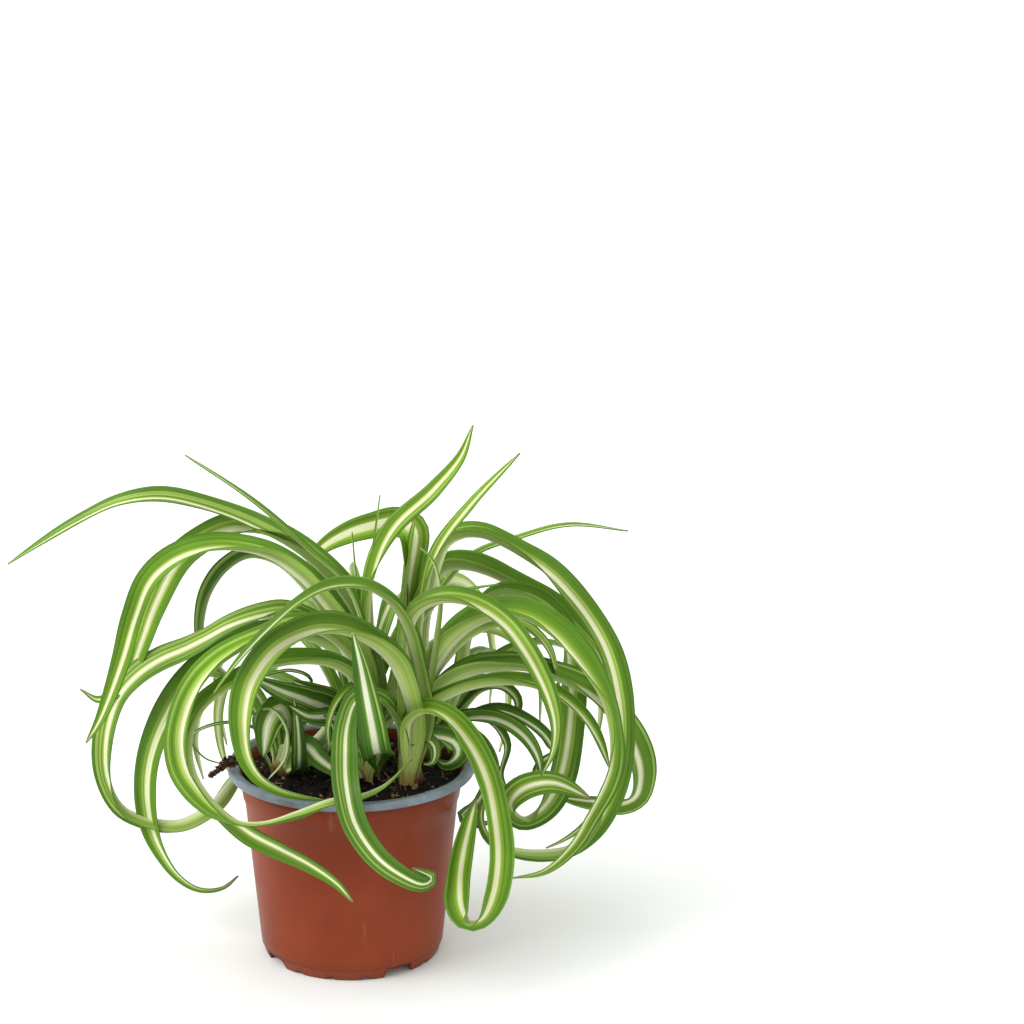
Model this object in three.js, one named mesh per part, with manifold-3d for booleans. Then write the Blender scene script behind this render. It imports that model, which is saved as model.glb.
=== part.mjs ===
// A curly-leaved spider plant in a round plastic nursery pot, in millimetres, +Z up.
// The origin is on the pot's axis, at the level of the surface that the pot stands on.
// X runs to the right and Y to the back of the plant as it is seen from its front.
// Five rosettes of leaves stand in holes in the potting soil, and each is one solid.

import * as THREE from 'three';
import { mergeVertices } from 'three/addons/utils/BufferGeometryUtils.js';
import Module from 'manifold-3d';

const wasm = await Module();
wasm.setup();

// ---------------------------------------------------------------- driving dimensions, mm
const RIM_RADIUS = 60; // a 12 cm nursery pot
const POT_HEIGHT = 96.5;
const FOOT_RADIUS = 42.6;
const WALL = 1.3;
const SIDES = 50; // facets round the pot
const GAP = 0.3; // between solids that rest on each other

const RIM_BAND = 3.9; // the rolled edge: how far it hangs down
const RIM_LIP = 4; // and how wide its sloping top is
const RIM_DISH = 1.6; // how far the lip falls towards the inside
const COLLAR_TOP_RADIUS = 54.6;
const COLLAR_LOW_RADIUS = 52.7;
const COLLAR_HEIGHT = 12.5;
const COLLAR_STEP = 0.7;
const SKIRT_HEIGHT = 5; // the foot ring under the last seam
const SKIRT_RADIUS = 44.6;
const FOOT_RING = 1.6; // how thick the foot ring is
const GUTTER_Z = 5.4; // the drain gutter round the pot's flat bottom
const GUTTER_RADIUS = 34; // and its inner edge

const NOTCH_COUNT = 16; // drain notches in the foot ring
const NOTCH_TURN = 31; // degrees from the front to the first wide notch
const WIDE_NOTCH_EVERY = 4;
const WIDE_NOTCH = { width: 15, height: 5 };
const SMALL_NOTCH = { width: 4.5, height: 1.6 };

const SOIL_Z = 89.6; // mean level of the soil
const SOIL_BUMP = 0.8;
const SOIL_SIDES = 30;
const SOIL_RINGS = [0.2, 0.42, 0.64, 0.84, 1];

const LEAF_START_Z = 92; // leaves start in their rootstocks, just above the soil
const BLADE = 0.8; // thickness of a leaf
const BASE_FOLD = 60; // degrees that each half of a leaf is folded up where it starts
const BASE_WIDTH = 0.55; // a leaf's width where it starts, as a share of the widest
const OPEN_SHARE = 0.22; // of its length, where it has its full width
const TIP_WIDTH = 0.9;
const TAPER = 3; // the higher, the later a leaf narrows to its tip
const LONGEST_STEP = 30; // along a leaf, from one section to the next
const SHARPEST_TURN = 36; // degrees that a leaf may bend in one step
const SHARPEST_TWIST = 50; // degrees that its width may turn in one step
const STOCK_BOTTOM_Z = 80; // the rootstocks' lower ends, in the soil
const STOCK_TOP_Z = 96;

// Places on a leaf are given as an eye in front of the plant sees them: in dots across and
// down a square picture, and by their depth in Y. These fix the eye and its picture.
const EYE = new THREE.Vector3(0, -1200, 530.4);
const EYE_PAN = THREE.MathUtils.degToRad(3.669); // to the right
const EYE_PITCH = THREE.MathUtils.degToRad(14.44); // down
const EYE_TILT = THREE.MathUtils.degToRad(0.587);
const PICTURE_MIDDLE = 512; // dots
const PICTURE_REACH = 2607; // dots from the eye to the picture

const COLOURS = { pot: '#a14b30', soil: '#2c1e15', leaf: '#6a9c36', youngLeaf: '#557f3f' };

// ---------------------------------------------------------------- leaves that the front shows
// Each starts at `from` in its rosette and passes the places in `seen`: across, down, depth,
// then the degrees that it is rolled about its own line and that each half is folded up.
const MAIN_LEAVES = [
  {
    name: 'front ring', from: [25, -14], width: 22.8,
    seen: [
      [409, 726, -19, 0, 60], [403, 695, -26, 0, 60], [388, 663, -34, 3, 58], [368, 645, -41, 0, 56],
      [345, 635, -46, -12, 54], [320, 633, -50, -24, 50], [298, 639, -54, -32, 46],
      [278, 650, -57, -40, 42], [262, 667, -60, -48, 40], [251, 687, -62, -52, 40],
      [246, 712, -64, -52, 40], [246, 737, -64, -50, 40], [250, 758, -64, -50, 38],
      [261, 776, -64, -48, 36], [279, 788, -64, -45, 34], [300, 795, -63, -42, 32],
      [325, 800, -62, -40, 30],
    ],
  },
  {
    name: 'arch left', from: [28, -12], width: 18, taper: 1.8,
    seen: [
      [419, 722, -17, 0, 60], [417, 690, -20, 0, 60], [411, 655, -24, 0, 56], [403, 627, -29, 0, 50],
      [389, 604, -35, 0, 44], [370, 591, -40, -2, 38], [348, 587, -45, -6, 34],
      [324, 591, -50, -10, 32], [300, 604, -54, -12, 32], [278, 622, -57, -14, 32],
      [256, 643, -60, -14, 32], [236, 665, -63, -14, 30], [214, 693, -64, -14, 28],
    ],
  },
  {
    name: 'front drop', from: [23, -15], width: 13.2, taper: 7,
    seen: [
      [400, 744, -18, 0, 55], [394, 720, -24, 0, 46], [380, 702, -31, -5, 38],
      [358, 701, -38, -20, 32], [348, 724, -44, -55, 24], [345, 755, -56, -80, 18],
      [347, 790, -72, -88, 18], [355, 823, -79, -90, 18], [376, 855, -83, -88, 18],
      [400, 874, -84, -86, 15], [424, 884, -83, -84, 12], [432, 878, -80, -76, 12],
      [412, 868, -78, -60, 12],
    ],
  },
  {
    name: 'right drop', from: [29, -15], width: 16.5, taper: 11,
    seen: [
      [410, 742, -21, 0, 58], [412, 722, -25, 4, 52], [425, 713, -29, 8, 44], [446, 720, -35, 14, 36],
      [468, 744, -43, 28, 24], [485, 778, -50, 40, 22], [494, 820, -56, 47, 30],
      [497, 858, -60, 50, 32], [492, 895, -61, 55, 30], [481, 918, -60, 38, 22],
      [470, 921, -57, 36, 20], [462, 905, -53, 60, 35], [460, 880, -50, 80, 45],
      [463, 855, -48, 80, 42], [469, 828, -45, 75, 38], [476, 800, -43, 70, 35],
    ],
  },
  {
    name: 'right arch', from: [27, -11], width: 20,
    seen: [
      [414, 706, -18, 0, 60], [411, 655, -22, -3, 58], [418, 617, -25, -3, 52], [438, 604, -28, 0, 46],
      [462, 604, -30, 6, 42], [485, 613, -32, 20, 38], [505, 628, -34, 32, 36],
      [521, 648, -37, 42, 34], [536, 673, -39, 46, 34], [548, 700, -41, 46, 34],
      [554, 725, -42, 46, 32], [552, 750, -42, 45, 30], [541, 776, -42, 45, 30],
    ],
  },
  {
    name: 'right big', from: [31, -8], width: 24,
    seen: [
      [421, 712, -9, 0, 60], [437, 672, -9, -5, 60], [462, 638, -10, -3, 58], [492, 620, -12, 6, 54],
      [520, 618, -14, 20, 50], [545, 630, -15, 28, 46], [566, 649, -16, 28, 42],
      [586, 674, -16, 20, 40], [602, 702, -16, 12, 38], [610, 735, -16, 14, 30],
      [610, 765, -18, 28, 30], [602, 789, -20, 42, 36], [588, 815, -23, 48, 38],
      [572, 843, -26, 50, 34], [545, 869, -29, 45, 30], [513, 878, -32, 45, 30],
    ],
  },
  {
    name: 'right mid', from: [31, -5], width: 14,
    seen: [
      [423, 706, -3, 0, 60], [446, 664, 0, -8, 56], [478, 634, 4, -4, 50], [515, 626, 10, 8, 42],
      [545, 647, 16, 20, 36], [560, 690, 20, 30, 30],
    ],
  },
  {
    name: 'tall right', from: [28, -4], width: 13, taper: 2,
    seen: [
      [418, 700, 0, 0, 58], [424, 612, 2, 5, 46], [438, 553, 4, 28, 38], [469, 508, 8, 50, 32],
      [520, 453, 14, 50, 30],
    ],
  },
  {
    name: 'thin right', from: [26, -5], width: 7,
    seen: [
      [416, 690, 2, 0, 60], [424, 620, 6, 0, 50], [452, 596, 10, 5, 40], [498, 584, 12, 10, 30],
    ],
  },
  {
    name: 'little front', from: [30, -10], width: 8,
    seen: [
      [423, 706, -13, 0, 60], [434, 640, -16, 5, 45], [439, 592, -16, 15, 35], [432, 560, -14, 0, 30],
      [420, 548, -12, -20, 25],
    ],
  },
  {
    name: 'right low front', from: [32, -11], width: 15, taper: 4,
    seen: [
      [418, 730, -15, 0, 60], [427, 712, -18, -4, 58], [446, 700, -20, -8, 56],
      [470, 690, -22, -4, 52], [498, 685, -22, 0, 48], [525, 686, -20, 5, 44], [546, 692, -17, 10, 42],
      [566, 703, -13, 18, 38], [585, 721, -8, 28, 34], [599, 743, -3, 36, 30], [609, 767, 0, 40, 28],
    ],
  },
  {
    name: 'right outer', from: [33, -8], width: 21.2, taper: 7,
    seen: [
      [421, 722, -9, 0, 60], [446, 692, -7, -8, 58], [472, 676, -3, -4, 54], [500, 671, 3, 0, 50],
      [525, 671, 8, 5, 46], [545, 677, 13, 10, 44], [567, 685, 19, 14, 42], [592, 698, 27, 24, 38],
      [613, 717, 34, 34, 36], [629, 740, 40, 42, 34], [638, 764, 45, 45, 33], [639, 782, 49, 46, 32],
      [634, 797, 52, 52, 26], [620, 803, 54, 58, 22], [600, 801, 54, 60, 20], [578, 799, 52, 60, 20],
      [556, 796, 50, 60, 20],
    ],
  },
  {
    name: 'front curl', from: [33, -12], width: 10,
    seen: [
      [414, 748, -15, 0, 50], [426, 740, -17, 30, 30], [434, 748, -20, 50, 20],
      [432, 762, -22, 60, 20], [424, 764, -24, 60, 20],
    ],
  },
  {
    name: 'front curl b', from: [34, -9], width: 14, taper: 8,
    seen: [
      [416, 742, -13, 0, 50], [428, 738, -11, 15, 40], [444, 739, -8, 40, 26], [454, 743, -7, 60, 18],
      [458, 752, -7, 65, 15], [452, 760, -10, 60, 15], [443, 763, -14, 50, 15],
      [436, 758, -13, 40, 15],
    ],
  },
];
const LEFT_LEAVES = [
  {
    name: 'long left', from: [6, -2], width: 18,
    seen: [
      [373, 690, 2, 0, 60], [347, 606, 10, 0, 60], [304, 558, 16, -5, 50], [250, 526, 20, -24, 38],
      [200, 507, 21, -24, 36], [160, 499, 22, -24, 34], [120, 504, 23, -22, 32],
      [85, 519, 24, -20, 32], [8, 564, 24, -20, 30],
    ],
  },
  {
    name: 'thin left', from: [8, -6], width: 7,
    seen: [
      [370, 680, -6, 0, 55], [348, 590, -8, -10, 50], [305, 548, -10, -15, 45],
      [250, 500, -8, -25, 40], [185, 455, -4, -30, 35],
    ],
  },
  {
    name: 'high left far', from: [5, 0], width: 21,
    seen: [
      [366, 700, 6, 0, 60], [357, 640, 9, 0, 60], [344, 600, 12, 0, 58], [318, 566, 16, -2, 50],
      [290, 544, 20, -2, 45], [262, 534, 23, -8, 42], [232, 531, 26, -38, 37], [205, 541, 28, -54, 33],
      [180, 560, 30, -60, 28], [157, 602, 31, -62, 22], [141, 645, 31, -62, 22],
      [128, 678, 30, -60, 20], [112, 696, 29, -50, 20], [97, 700, 28, -40, 20], [80, 689, 27, -30, 20],
    ],
  },
  {
    name: 'high left', from: [4, -6], width: 22,
    seen: [
      [364, 700, -4, 0, 60], [353, 655, -3, 0, 60], [335, 622, -2, 3, 60], [302, 583, -1, 0, 58],
      [272, 560, 0, -3, 50], [240, 551, 0, -6, 40], [205, 551, -1, -14, 34], [172, 563, -2, -36, 35],
      [151, 582, -5, -48, 40], [136, 618, -8, -52, 42], [123, 660, -12, -62, 32],
      [100, 720, -16, -65, 22], [86, 743, -18, -65, 20],
    ],
  },
  {
    name: 'dark mid left', from: [4, 3], width: 15, taper: 6,
    seen: [
      [354, 685, 12, 0, 60], [332, 630, 18, 0, 60], [300, 586, 26, 0, 55], [275, 564, 32, -5, 50],
      [250, 558, 35, -14, 50], [228, 570, 38, -18, 50], [212, 592, 40, -18, 49],
      [205, 615, 41, -18, 49], [204, 637, 40, -18, 48], [211, 655, 36, -14, 46],
      [226, 672, 30, -8, 45], [246, 688, 26, 0, 45],
    ],
  },
  {
    name: 'low left hook', from: [3, -2], width: 16.5, taper: 10,
    seen: [
      [354, 690, 4, 0, 60], [337, 645, 8, 0, 58], [310, 622, 9, 0, 50], [285, 614, 10, -5, 40],
      [262, 617, 12, -12, 28], [230, 627, 14, -18, 15], [205, 640, 17, -20, 8], [185, 650, 20, -22, 8],
      [160, 661, 23, -25, 10], [138, 676, 25, -30, 14], [120, 697, 27, -32, 18],
      [108, 735, 28, -35, 25], [109, 778, 26, -35, 28], [124, 806, 24, -32, 45],
      [145, 816, 22, -26, 58], [178, 820, 20, -14, 58], [210, 803, 24, 12, 50], [234, 778, 42, 40, 45],
      [254, 755, 60, 50, 45],
    ],
  },
  {
    name: 'low left tail', from: [2, 1], width: 20, taper: 3.1,
    seen: [
      [352, 690, 10, 0, 60], [333, 655, 13, 0, 55], [300, 638, 17, -3, 45], [262, 638, 21, -10, 36],
      [222, 654, 24, -22, 32], [190, 682, 26, -36, 28], [165, 722, 26, -45, 25],
      [151, 760, 24, -50, 25], [148, 795, 22, -52, 25], [153, 828, 19, -50, 25],
      [164, 854, 17, -45, 25], [180, 876, 15, -42, 25], [200, 888, 14, -40, 25],
      [222, 887, 13, -40, 25], [238, 876, 12, -50, 25],
    ],
  },
  {
    name: 'front left sweep', from: [6, -10], width: 17.5, taper: 5,
    seen: [
      [368, 712, -14, 0, 60], [352, 682, -22, 0, 55], [330, 667, -28, 0, 50], [300, 664, -34, -3, 45],
      [270, 669, -39, -5, 42], [243, 682, -42, -8, 42], [222, 694, -44, -10, 42],
      [204, 710, -46, -12, 45], [194, 730, -49, -14, 45], [192, 752, -52, -14, 45],
      [197, 775, -56, -14, 45], [210, 796, -59, -20, 40], [230, 816, -62, -40, 30],
      [252, 833, -65, -58, 25], [280, 848, -68, -66, 24], [310, 864, -71, -68, 24],
      [338, 884, -73, -66, 24], [353, 902, -74, -60, 24],
    ],
  },
  {
    name: 'front left ring', from: [3, -8], width: 19, taper: 4.2,
    seen: [
      [358, 690, -8, 0, 60], [346, 656, -13, 0, 58], [320, 635, -19, 0, 52], [292, 631, -24, -3, 48],
      [262, 642, -29, -5, 45], [238, 653, -34, -8, 42], [218, 667, -40, -14, 42],
      [200, 687, -46, -28, 42], [188, 711, -52, -42, 42], [182, 740, -58, -50, 42],
      [186, 766, -63, -50, 42], [197, 785, -68, -48, 40], [215, 805, -72, -38, 32],
      [237, 820, -74, -22, 18], [263, 822, -73, -19, 14], [298, 811, -71, -22, 30],
      [330, 799, -68, -22, 36], [358, 795, -64, -16, 26], [385, 784, -56, -14, 20],
      [412, 759, -46, -30, 20],
    ],
  },
  {
    name: 'tall', from: [9, -3], width: 13.5, taper: 3.4,
    seen: [
      [376, 700, -2, 0, 60], [370, 635, 0, 0, 50], [374, 578, 4, 20, 40], [393, 530, 8, 55, 30],
      [433, 491, 10, 72, 26], [461, 457, 10, 72, 26], [473, 425, 8, 60, 26],
    ],
  },
  {
    name: 'spear a', from: [10, 0], width: 5,
    seen: [
      [377, 690, 4, 0, 60], [372, 580, 8, 0, 40], [380, 495, 10, 0, 30],
    ],
  },
  {
    name: 'spear b', from: [8, 2], width: 4,
    seen: [
      [366, 690, 6, 0, 60], [357, 600, 10, 0, 40], [352, 532, 12, 0, 30],
    ],
  },
  {
    name: 'folded spear', from: [10, -8], width: 15.5, taper: 3.3,
    seen: [
      [378, 752, -19, -60, 40], [379, 752, -36, -90, 20], [376.5, 751, -48, -92, 14],
      [371.5, 722, -56, -94, 14], [365.5, 690, -59, -94, 14], [359.5, 660, -60, -92, 14],
      [352.5, 632, -60, -90, 14],
    ],
  },
  {
    name: 'short hook', from: [7, -11], width: 10,
    seen: [
      [376, 735, -14, 0, 55], [370, 694, -20, 0, 45], [352, 689, -26, 0, 35], [337, 704, -32, -20, 25],
      [329, 727, -35, -30, 25], [330, 750, -36, -40, 25],
    ],
  },
  {
    name: 'pale curl', from: [5, -11], width: 7,
    seen: [
      [346, 748, -24, 20, 40], [358, 750, -28, 30, 25], [361, 764, -31, 40, 20],
      [350, 769, -32, 40, 20],
    ],
  },
];
const BACK_LEAVES = [
  {
    name: 'wide back left', from: [2, 32], width: 21,
    seen: [
      [396, 690, 38, 0, 60], [402, 630, 42, 0, 45], [408, 575, 48, -30, 25], [412, 530, 52, -70, 12],
      [398, 521, 54, -90, 12], [372, 525, 54, -88, 14], [345, 534, 54, -75, 16],
      [320, 550, 52, -60, 20], [303, 576, 50, -50, 20],
    ],
  },
  {
    name: 'broad up', from: [4, 29], width: 13, taper: 12,
    seen: [
      [397, 690, 34, 0, 60], [405, 620, 38, 0, 40], [411, 560, 42, 5, 25], [415, 519, 44, 10, 20],
    ],
  },
  {
    name: 'right high', from: [6, 32], width: 17, taper: 8,
    seen: [
      [420, 690, 36, 0, 60], [430, 620, 36, -3, 60], [440, 570, 36, -3, 58], [450, 546, 36, 0, 56],
      [464, 538, 36, 5, 55], [482, 538, 36, 12, 55], [500, 545, 35, 15, 52], [520, 556, 34, 18, 48],
      [545, 572, 33, 28, 40], [568, 594, 31, 38, 34], [590, 622, 30, 42, 32], [606, 652, 29, 45, 32],
      [616, 688, 27, 45, 32], [620, 722, 24, 45, 32], [618, 760, 16, 45, 32], [608, 798, 6, 45, 35],
      [592, 828, -3, 40, 45], [570, 845, -9, 30, 56], [545, 850, -14, 28, 60], [515, 848, -17, 28, 60],
      [492, 838, -19, 40, 42], [482, 818, -20, 50, 32], [486, 797, -21, 50, 28],
    ],
  },
  {
    name: 'right high far', from: [5, 36], width: 23, taper: 2,
    seen: [
      [416, 690, 44, 0, 60], [425, 622, 48, -3, 60], [436, 587, 51, 0, 60], [448, 572, 53, 6, 60],
      [466, 570, 55, 10, 60], [486, 575, 56, 12, 58], [506, 584, 56, 14, 56], [526, 594, 55, 18, 52],
      [548, 607, 57, 24, 46], [572, 628, 58, 32, 38], [596, 656, 58, 40, 32], [612, 692, 56, 44, 30],
      [618, 727, 50, 46, 30], [614, 765, 42, 48, 30], [600, 800, 34, 50, 28], [582, 825, 26, 50, 26],
      [562, 840, 22, 50, 25], [546, 848, 20, 50, 25],
    ],
  },
  {
    name: 'far thin right', from: [3, 38], width: 8,
    seen: [
      [410, 690, 50, 0, 60], [432, 612, 60, 0, 50], [470, 560, 70, 8, 40], [522, 538, 80, 14, 36],
      [570, 526, 88, 14, 34], [628, 531, 96, 14, 30],
    ],
  },
];
const YOUNG_LEAVES = [
  {
    name: 'dark blade', from: [-33, 4], width: 18, taper: 3,
    seen: [
      [322, 735, 0, 0, 50], [332, 714, -4, -40, 30], [308, 701, -12, -75, 18],
      [280, 690, -20, -85, 16], [252, 677, -26, -85, 16],
    ],
  },
  {
    name: 'dark blade b', from: [-32, 6], width: 15,
    seen: [
      [322, 728, 10, 0, 50], [334, 704, 8, -10, 30], [316, 693, 2, -50, 20], [290, 680, -2, -60, 20],
    ],
  },
  {
    name: 'dark blade c', from: [-32, 3], width: 14, taper: 3,
    seen: [
      [322, 745, -2, 0, 50], [340, 724, -6, -30, 30], [330, 717, -14, -70, 18],
      [308, 716, -20, -85, 16], [290, 706, -24, -85, 16],
    ],
  },
  {
    name: 'thin arch', from: [-34, 10], width: 4,
    seen: [
      [300, 710, 16, 0, 50], [310, 680, 18, -10, 40], [290, 671, 16, -20, 35], [262, 676, 12, -30, 30],
    ],
  },
  {
    name: 'thin ring', from: [-38, 0], width: 4,
    seen: [
      [262, 745, -6, 0, 50], [256, 715, -14, -10, 35], [272, 710, -20, -20, 30],
      [286, 730, -24, -25, 30], [285, 758, -26, -30, 30], [268, 780, -28, -30, 30],
    ],
  },
  {
    name: 'broad low', from: [-36, 2], width: 17, taper: 5,
    seen: [
      [283, 752, -2, 0, 50], [287, 722, -6, -30, 30], [279, 708, -12, -80, 18],
      [268, 722, -18, -100, 14], [263, 757, -22, -110, 14],
    ],
  },
  {
    name: 'spear', from: [-32, -1], width: 8.5,
    seen: [
      [297, 768, -12, -60, 30], [299, 758, -20, -90, 16], [298, 728, -22, -92, 16],
      [294, 698, -20, -92, 16],
    ],
  },
  {
    name: 'low front', from: [-28, 1], width: 12, taper: 4,
    seen: [
      [302, 748, -6, 0, 50], [308, 747, -13, 40, 28], [318, 757, -20, 80, 18], [332, 768, -25, 85, 16],
      [348, 778, -30, 80, 16],
    ],
  },
  {
    name: 'low ring', from: [-28, 3], width: 7,
    seen: [
      [304, 742, -4, 0, 50], [304, 728, -8, -20, 35], [314, 717, -12, -20, 30],
      [328, 720, -16, -20, 28], [334, 735, -19, -20, 28], [328, 750, -22, -20, 28],
    ],
  },
  {
    name: 'left thin a', from: [-38, 4], width: 3,
    seen: [
      [268, 740, 2, 0, 50], [240, 724, 2, -5, 40], [205, 728, 2, -10, 30], [192, 738, 2, -15, 30],
      [204, 757, 2, -20, 30], [222, 764, 2, -20, 30],
    ],
  },
];
const RIGHT_LEAVES = [
  {
    name: 'curl right back', from: [40, 22], width: 17, taper: 12,
    seen: [
      [462, 690, 26, 0, 60], [476, 625, 32, -8, 55], [500, 598, 36, 0, 48], [534, 602, 40, 10, 42],
      [560, 626, 42, 28, 34], [569, 668, 41, 45, 28], [569, 720, 34, 60, 24], [560, 775, 18, 66, 22],
      [543, 806, 6, 62, 26], [523, 817, -2, 50, 34], [512, 804, -7, 40, 34], [524, 789, -11, 58, 28],
      [552, 783, -13, 60, 24], [591, 799, -14, 45, 25],
    ],
  },
  {
    name: 'low right arch', from: [42, 16], width: 13.2,
    seen: [
      [452, 728, 15, 0, 55], [470, 720, 13, 10, 36], [498, 721, 8, 24, 24], [523, 736, 2, 40, 22],
      [537, 757, -2, 50, 22], [541, 779, -4, 50, 25],
    ],
  },
  {
    name: 'small right curl', from: [43, 23], width: 10, taper: 5,
    seen: [
      [468, 722, 24, 0, 55], [498, 712, 22, 10, 40], [526, 722, 18, 20, 28], [546, 738, 14, 30, 22],
      [552, 752, 10, 45, 20], [541, 762, 6, 60, 18], [536, 776, 3, 70, 18], [545, 792, 0, 60, 20],
    ],
  },
  {
    name: 'loop right', from: [38, 26], width: 12,
    seen: [
      [462, 714, 32, 0, 55], [482, 692, 36, 10, 40], [502, 688, 38, 25, 30], [516, 700, 36, 35, 25],
      [514, 716, 33, 45, 25], [500, 722, 30, 50, 25],
    ],
  },
  {
    name: 'loop low right', from: [43, 19], width: 9,
    seen: [
      [462, 724, 20, 0, 55], [487, 722, 16, 10, 40], [505, 744, 10, 30, 30], [500, 775, 4, 40, 30],
      [508, 792, 0, 40, 30],
    ],
  },
  {
    name: 'drop right', from: [42, 14], width: 12,
    seen: [
      [455, 735, 12, 0, 50], [476, 742, 7, 20, 35], [489, 770, 2, 40, 30], [478, 800, -6, 60, 25],
      [462, 815, -12, 60, 22], [474, 824, -15, 60, 22], [492, 822, -15, 60, 22],
    ],
  },
];

// Leaves that nothing holds to one place, round the back: each leans out of its rosette by
// `lean` degrees and bends over by `bend` degrees more on its way to the tip.
const BACK_ARCHES = [
  { heading: 38, length: 185, lean: 24, bend: 170, width: 11 },
  { heading: 57, length: 225, lean: 16, bend: 190, width: 12 },
  { heading: 76, length: 205, lean: 30, bend: 150, width: 12 },
  { heading: 92, length: 235, lean: 14, bend: 205, width: 13 },
  { heading: 108, length: 200, lean: 28, bend: 165, width: 11 },
  { heading: 125, length: 200, lean: 26, bend: 185, width: 12 },
  { heading: 144, length: 150, lean: 40, bend: 165, width: 10 },
];
const RIGHT_ARCHES = [
  { heading: 62, length: 150, lean: 22, bend: 200, width: 9 },
  { heading: 38, length: 170, lean: 26, bend: 170, width: 10 },
];
const YOUNG_ARCHES = [
  { heading: 118, length: 130, lean: 20, bend: 220, width: 8 },
  { heading: 133, length: 140, lean: 24, bend: 190, width: 9 },
  { heading: 100, length: 110, lean: 30, bend: 230, width: 8 },
];
const ARCH_POINTS = 9;
const ARCH_FOLD = 25;

const ROSETTES = [
  {
    name: 'crown_main', at: [28.5, -10], radius: 7.5, colour: 'leaf',
    leaves: MAIN_LEAVES, arches: [],
  },
  {
    name: 'crown_left', at: [6.5, -5], radius: 7.5, colour: 'leaf',
    leaves: LEFT_LEAVES, arches: [],
  },
  {
    name: 'crown_back', at: [2, 33], radius: 7, colour: 'leaf',
    leaves: BACK_LEAVES, arches: BACK_ARCHES,
  },
  {
    name: 'crown_right', at: [39, 20], radius: 7, colour: 'youngLeaf',
    leaves: RIGHT_LEAVES, arches: RIGHT_ARCHES,
  },
  {
    name: 'crown_young', at: [-33, 4], radius: 7, colour: 'youngLeaf',
    leaves: YOUNG_LEAVES, arches: YOUNG_ARCHES,
  },
];

// ---------------------------------------------------------------- solids and their joins
function solidOf(geometry) {
  const bare = geometry.index ? geometry : geometry.clone();
  bare.deleteAttribute('normal');
  bare.deleteAttribute('uv');
  const merged = mergeVertices(bare, 1e-4);
  return new wasm.Manifold(new wasm.Mesh({
    numProp: 3,
    vertProperties: new Float32Array(merged.attributes.position.array),
    triVerts: new Uint32Array(merged.index.array),
  }));
}

function geometryOf(solid) {
  const { vertProperties, triVerts } = solid.getMesh();
  const geometry = new THREE.BufferGeometry();
  geometry.setAttribute('position', new THREE.BufferAttribute(vertProperties, 3));
  geometry.setIndex(new THREE.BufferAttribute(triVerts, 1));
  geometry.computeVertexNormals();
  return geometry;
}

function turned(profile, sides) {
  const points = profile.map(([radius, z]) => new THREE.Vector2(radius, z));
  return new THREE.LatheGeometry(points, sides).rotateX(Math.PI / 2);
}

// ---------------------------------------------------------------- pot
function outerRadius(z) {
  const lipZ = POT_HEIGHT - RIM_BAND;
  const collarZ = lipZ - COLLAR_HEIGHT;
  const { mapLinear } = THREE.MathUtils;
  if (z >= collarZ) return mapLinear(z, collarZ, lipZ, COLLAR_LOW_RADIUS, COLLAR_TOP_RADIUS);
  return mapLinear(z, SKIRT_HEIGHT, collarZ, SKIRT_RADIUS, COLLAR_LOW_RADIUS - COLLAR_STEP);
}

function makePot() {
  const lipZ = POT_HEIGHT - RIM_BAND;
  const collarZ = lipZ - COLLAR_HEIGHT;
  const floorZ = GUTTER_Z + WALL;
  const profile = [
    [0, 0],
    [GUTTER_RADIUS, 0],
    [GUTTER_RADIUS + 1, GUTTER_Z],
    [FOOT_RADIUS, GUTTER_Z],
    [FOOT_RADIUS - FOOT_RING, 0],
    [FOOT_RADIUS, 0],
    [SKIRT_RADIUS - 0.5, SKIRT_HEIGHT],
    [SKIRT_RADIUS, SKIRT_HEIGHT],
    [COLLAR_LOW_RADIUS - COLLAR_STEP, collarZ - COLLAR_STEP],
    [COLLAR_LOW_RADIUS, collarZ],
    [COLLAR_TOP_RADIUS, lipZ],
    [COLLAR_TOP_RADIUS + 0.6, POT_HEIGHT - RIM_DISH - WALL],
    [RIM_RADIUS - WALL, POT_HEIGHT - WALL],
    [RIM_RADIUS - WALL, lipZ],
    [RIM_RADIUS, lipZ],
    [RIM_RADIUS, POT_HEIGHT - 0.6],
    [RIM_RADIUS - 0.8, POT_HEIGHT],
    [RIM_RADIUS - RIM_LIP, POT_HEIGHT - 0.3],
    [COLLAR_TOP_RADIUS - 0.2, POT_HEIGHT - RIM_DISH],
    [outerRadius(lipZ) - WALL, lipZ],
    [outerRadius(collarZ) - WALL, collarZ],
    [outerRadius(floorZ) - WALL, floorZ],
    [GUTTER_RADIUS, floorZ],
    [GUTTER_RADIUS - WALL, WALL],
    [0, WALL],
  ];
  let pot = solidOf(turned(profile, SIDES));
  for (let i = 0; i < NOTCH_COUNT; i++) {
    const { width, height } = i % WIDE_NOTCH_EVERY ? SMALL_NOTCH : WIDE_NOTCH;
    const turn = THREE.MathUtils.degToRad(NOTCH_TURN - 90 + (360 / NOTCH_COUNT) * i);
    const notch = new THREE.BoxGeometry(8, width, 2 * height);
    notch.translate(FOOT_RADIUS, 0, 0);
    notch.rotateZ(turn);
    pot = pot.subtract(solidOf(notch));
  }
  return geometryOf(pot);
}

// ---------------------------------------------------------------- soil
function soilLevel(x, y) {
  const waves = 0.6 * Math.sin(x / 5.3 + 1.1) * Math.cos(y / 6.1) + 0.4 * Math.sin((x - y) / 3.7);
  return SOIL_Z + SOIL_BUMP * waves;
}

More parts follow.
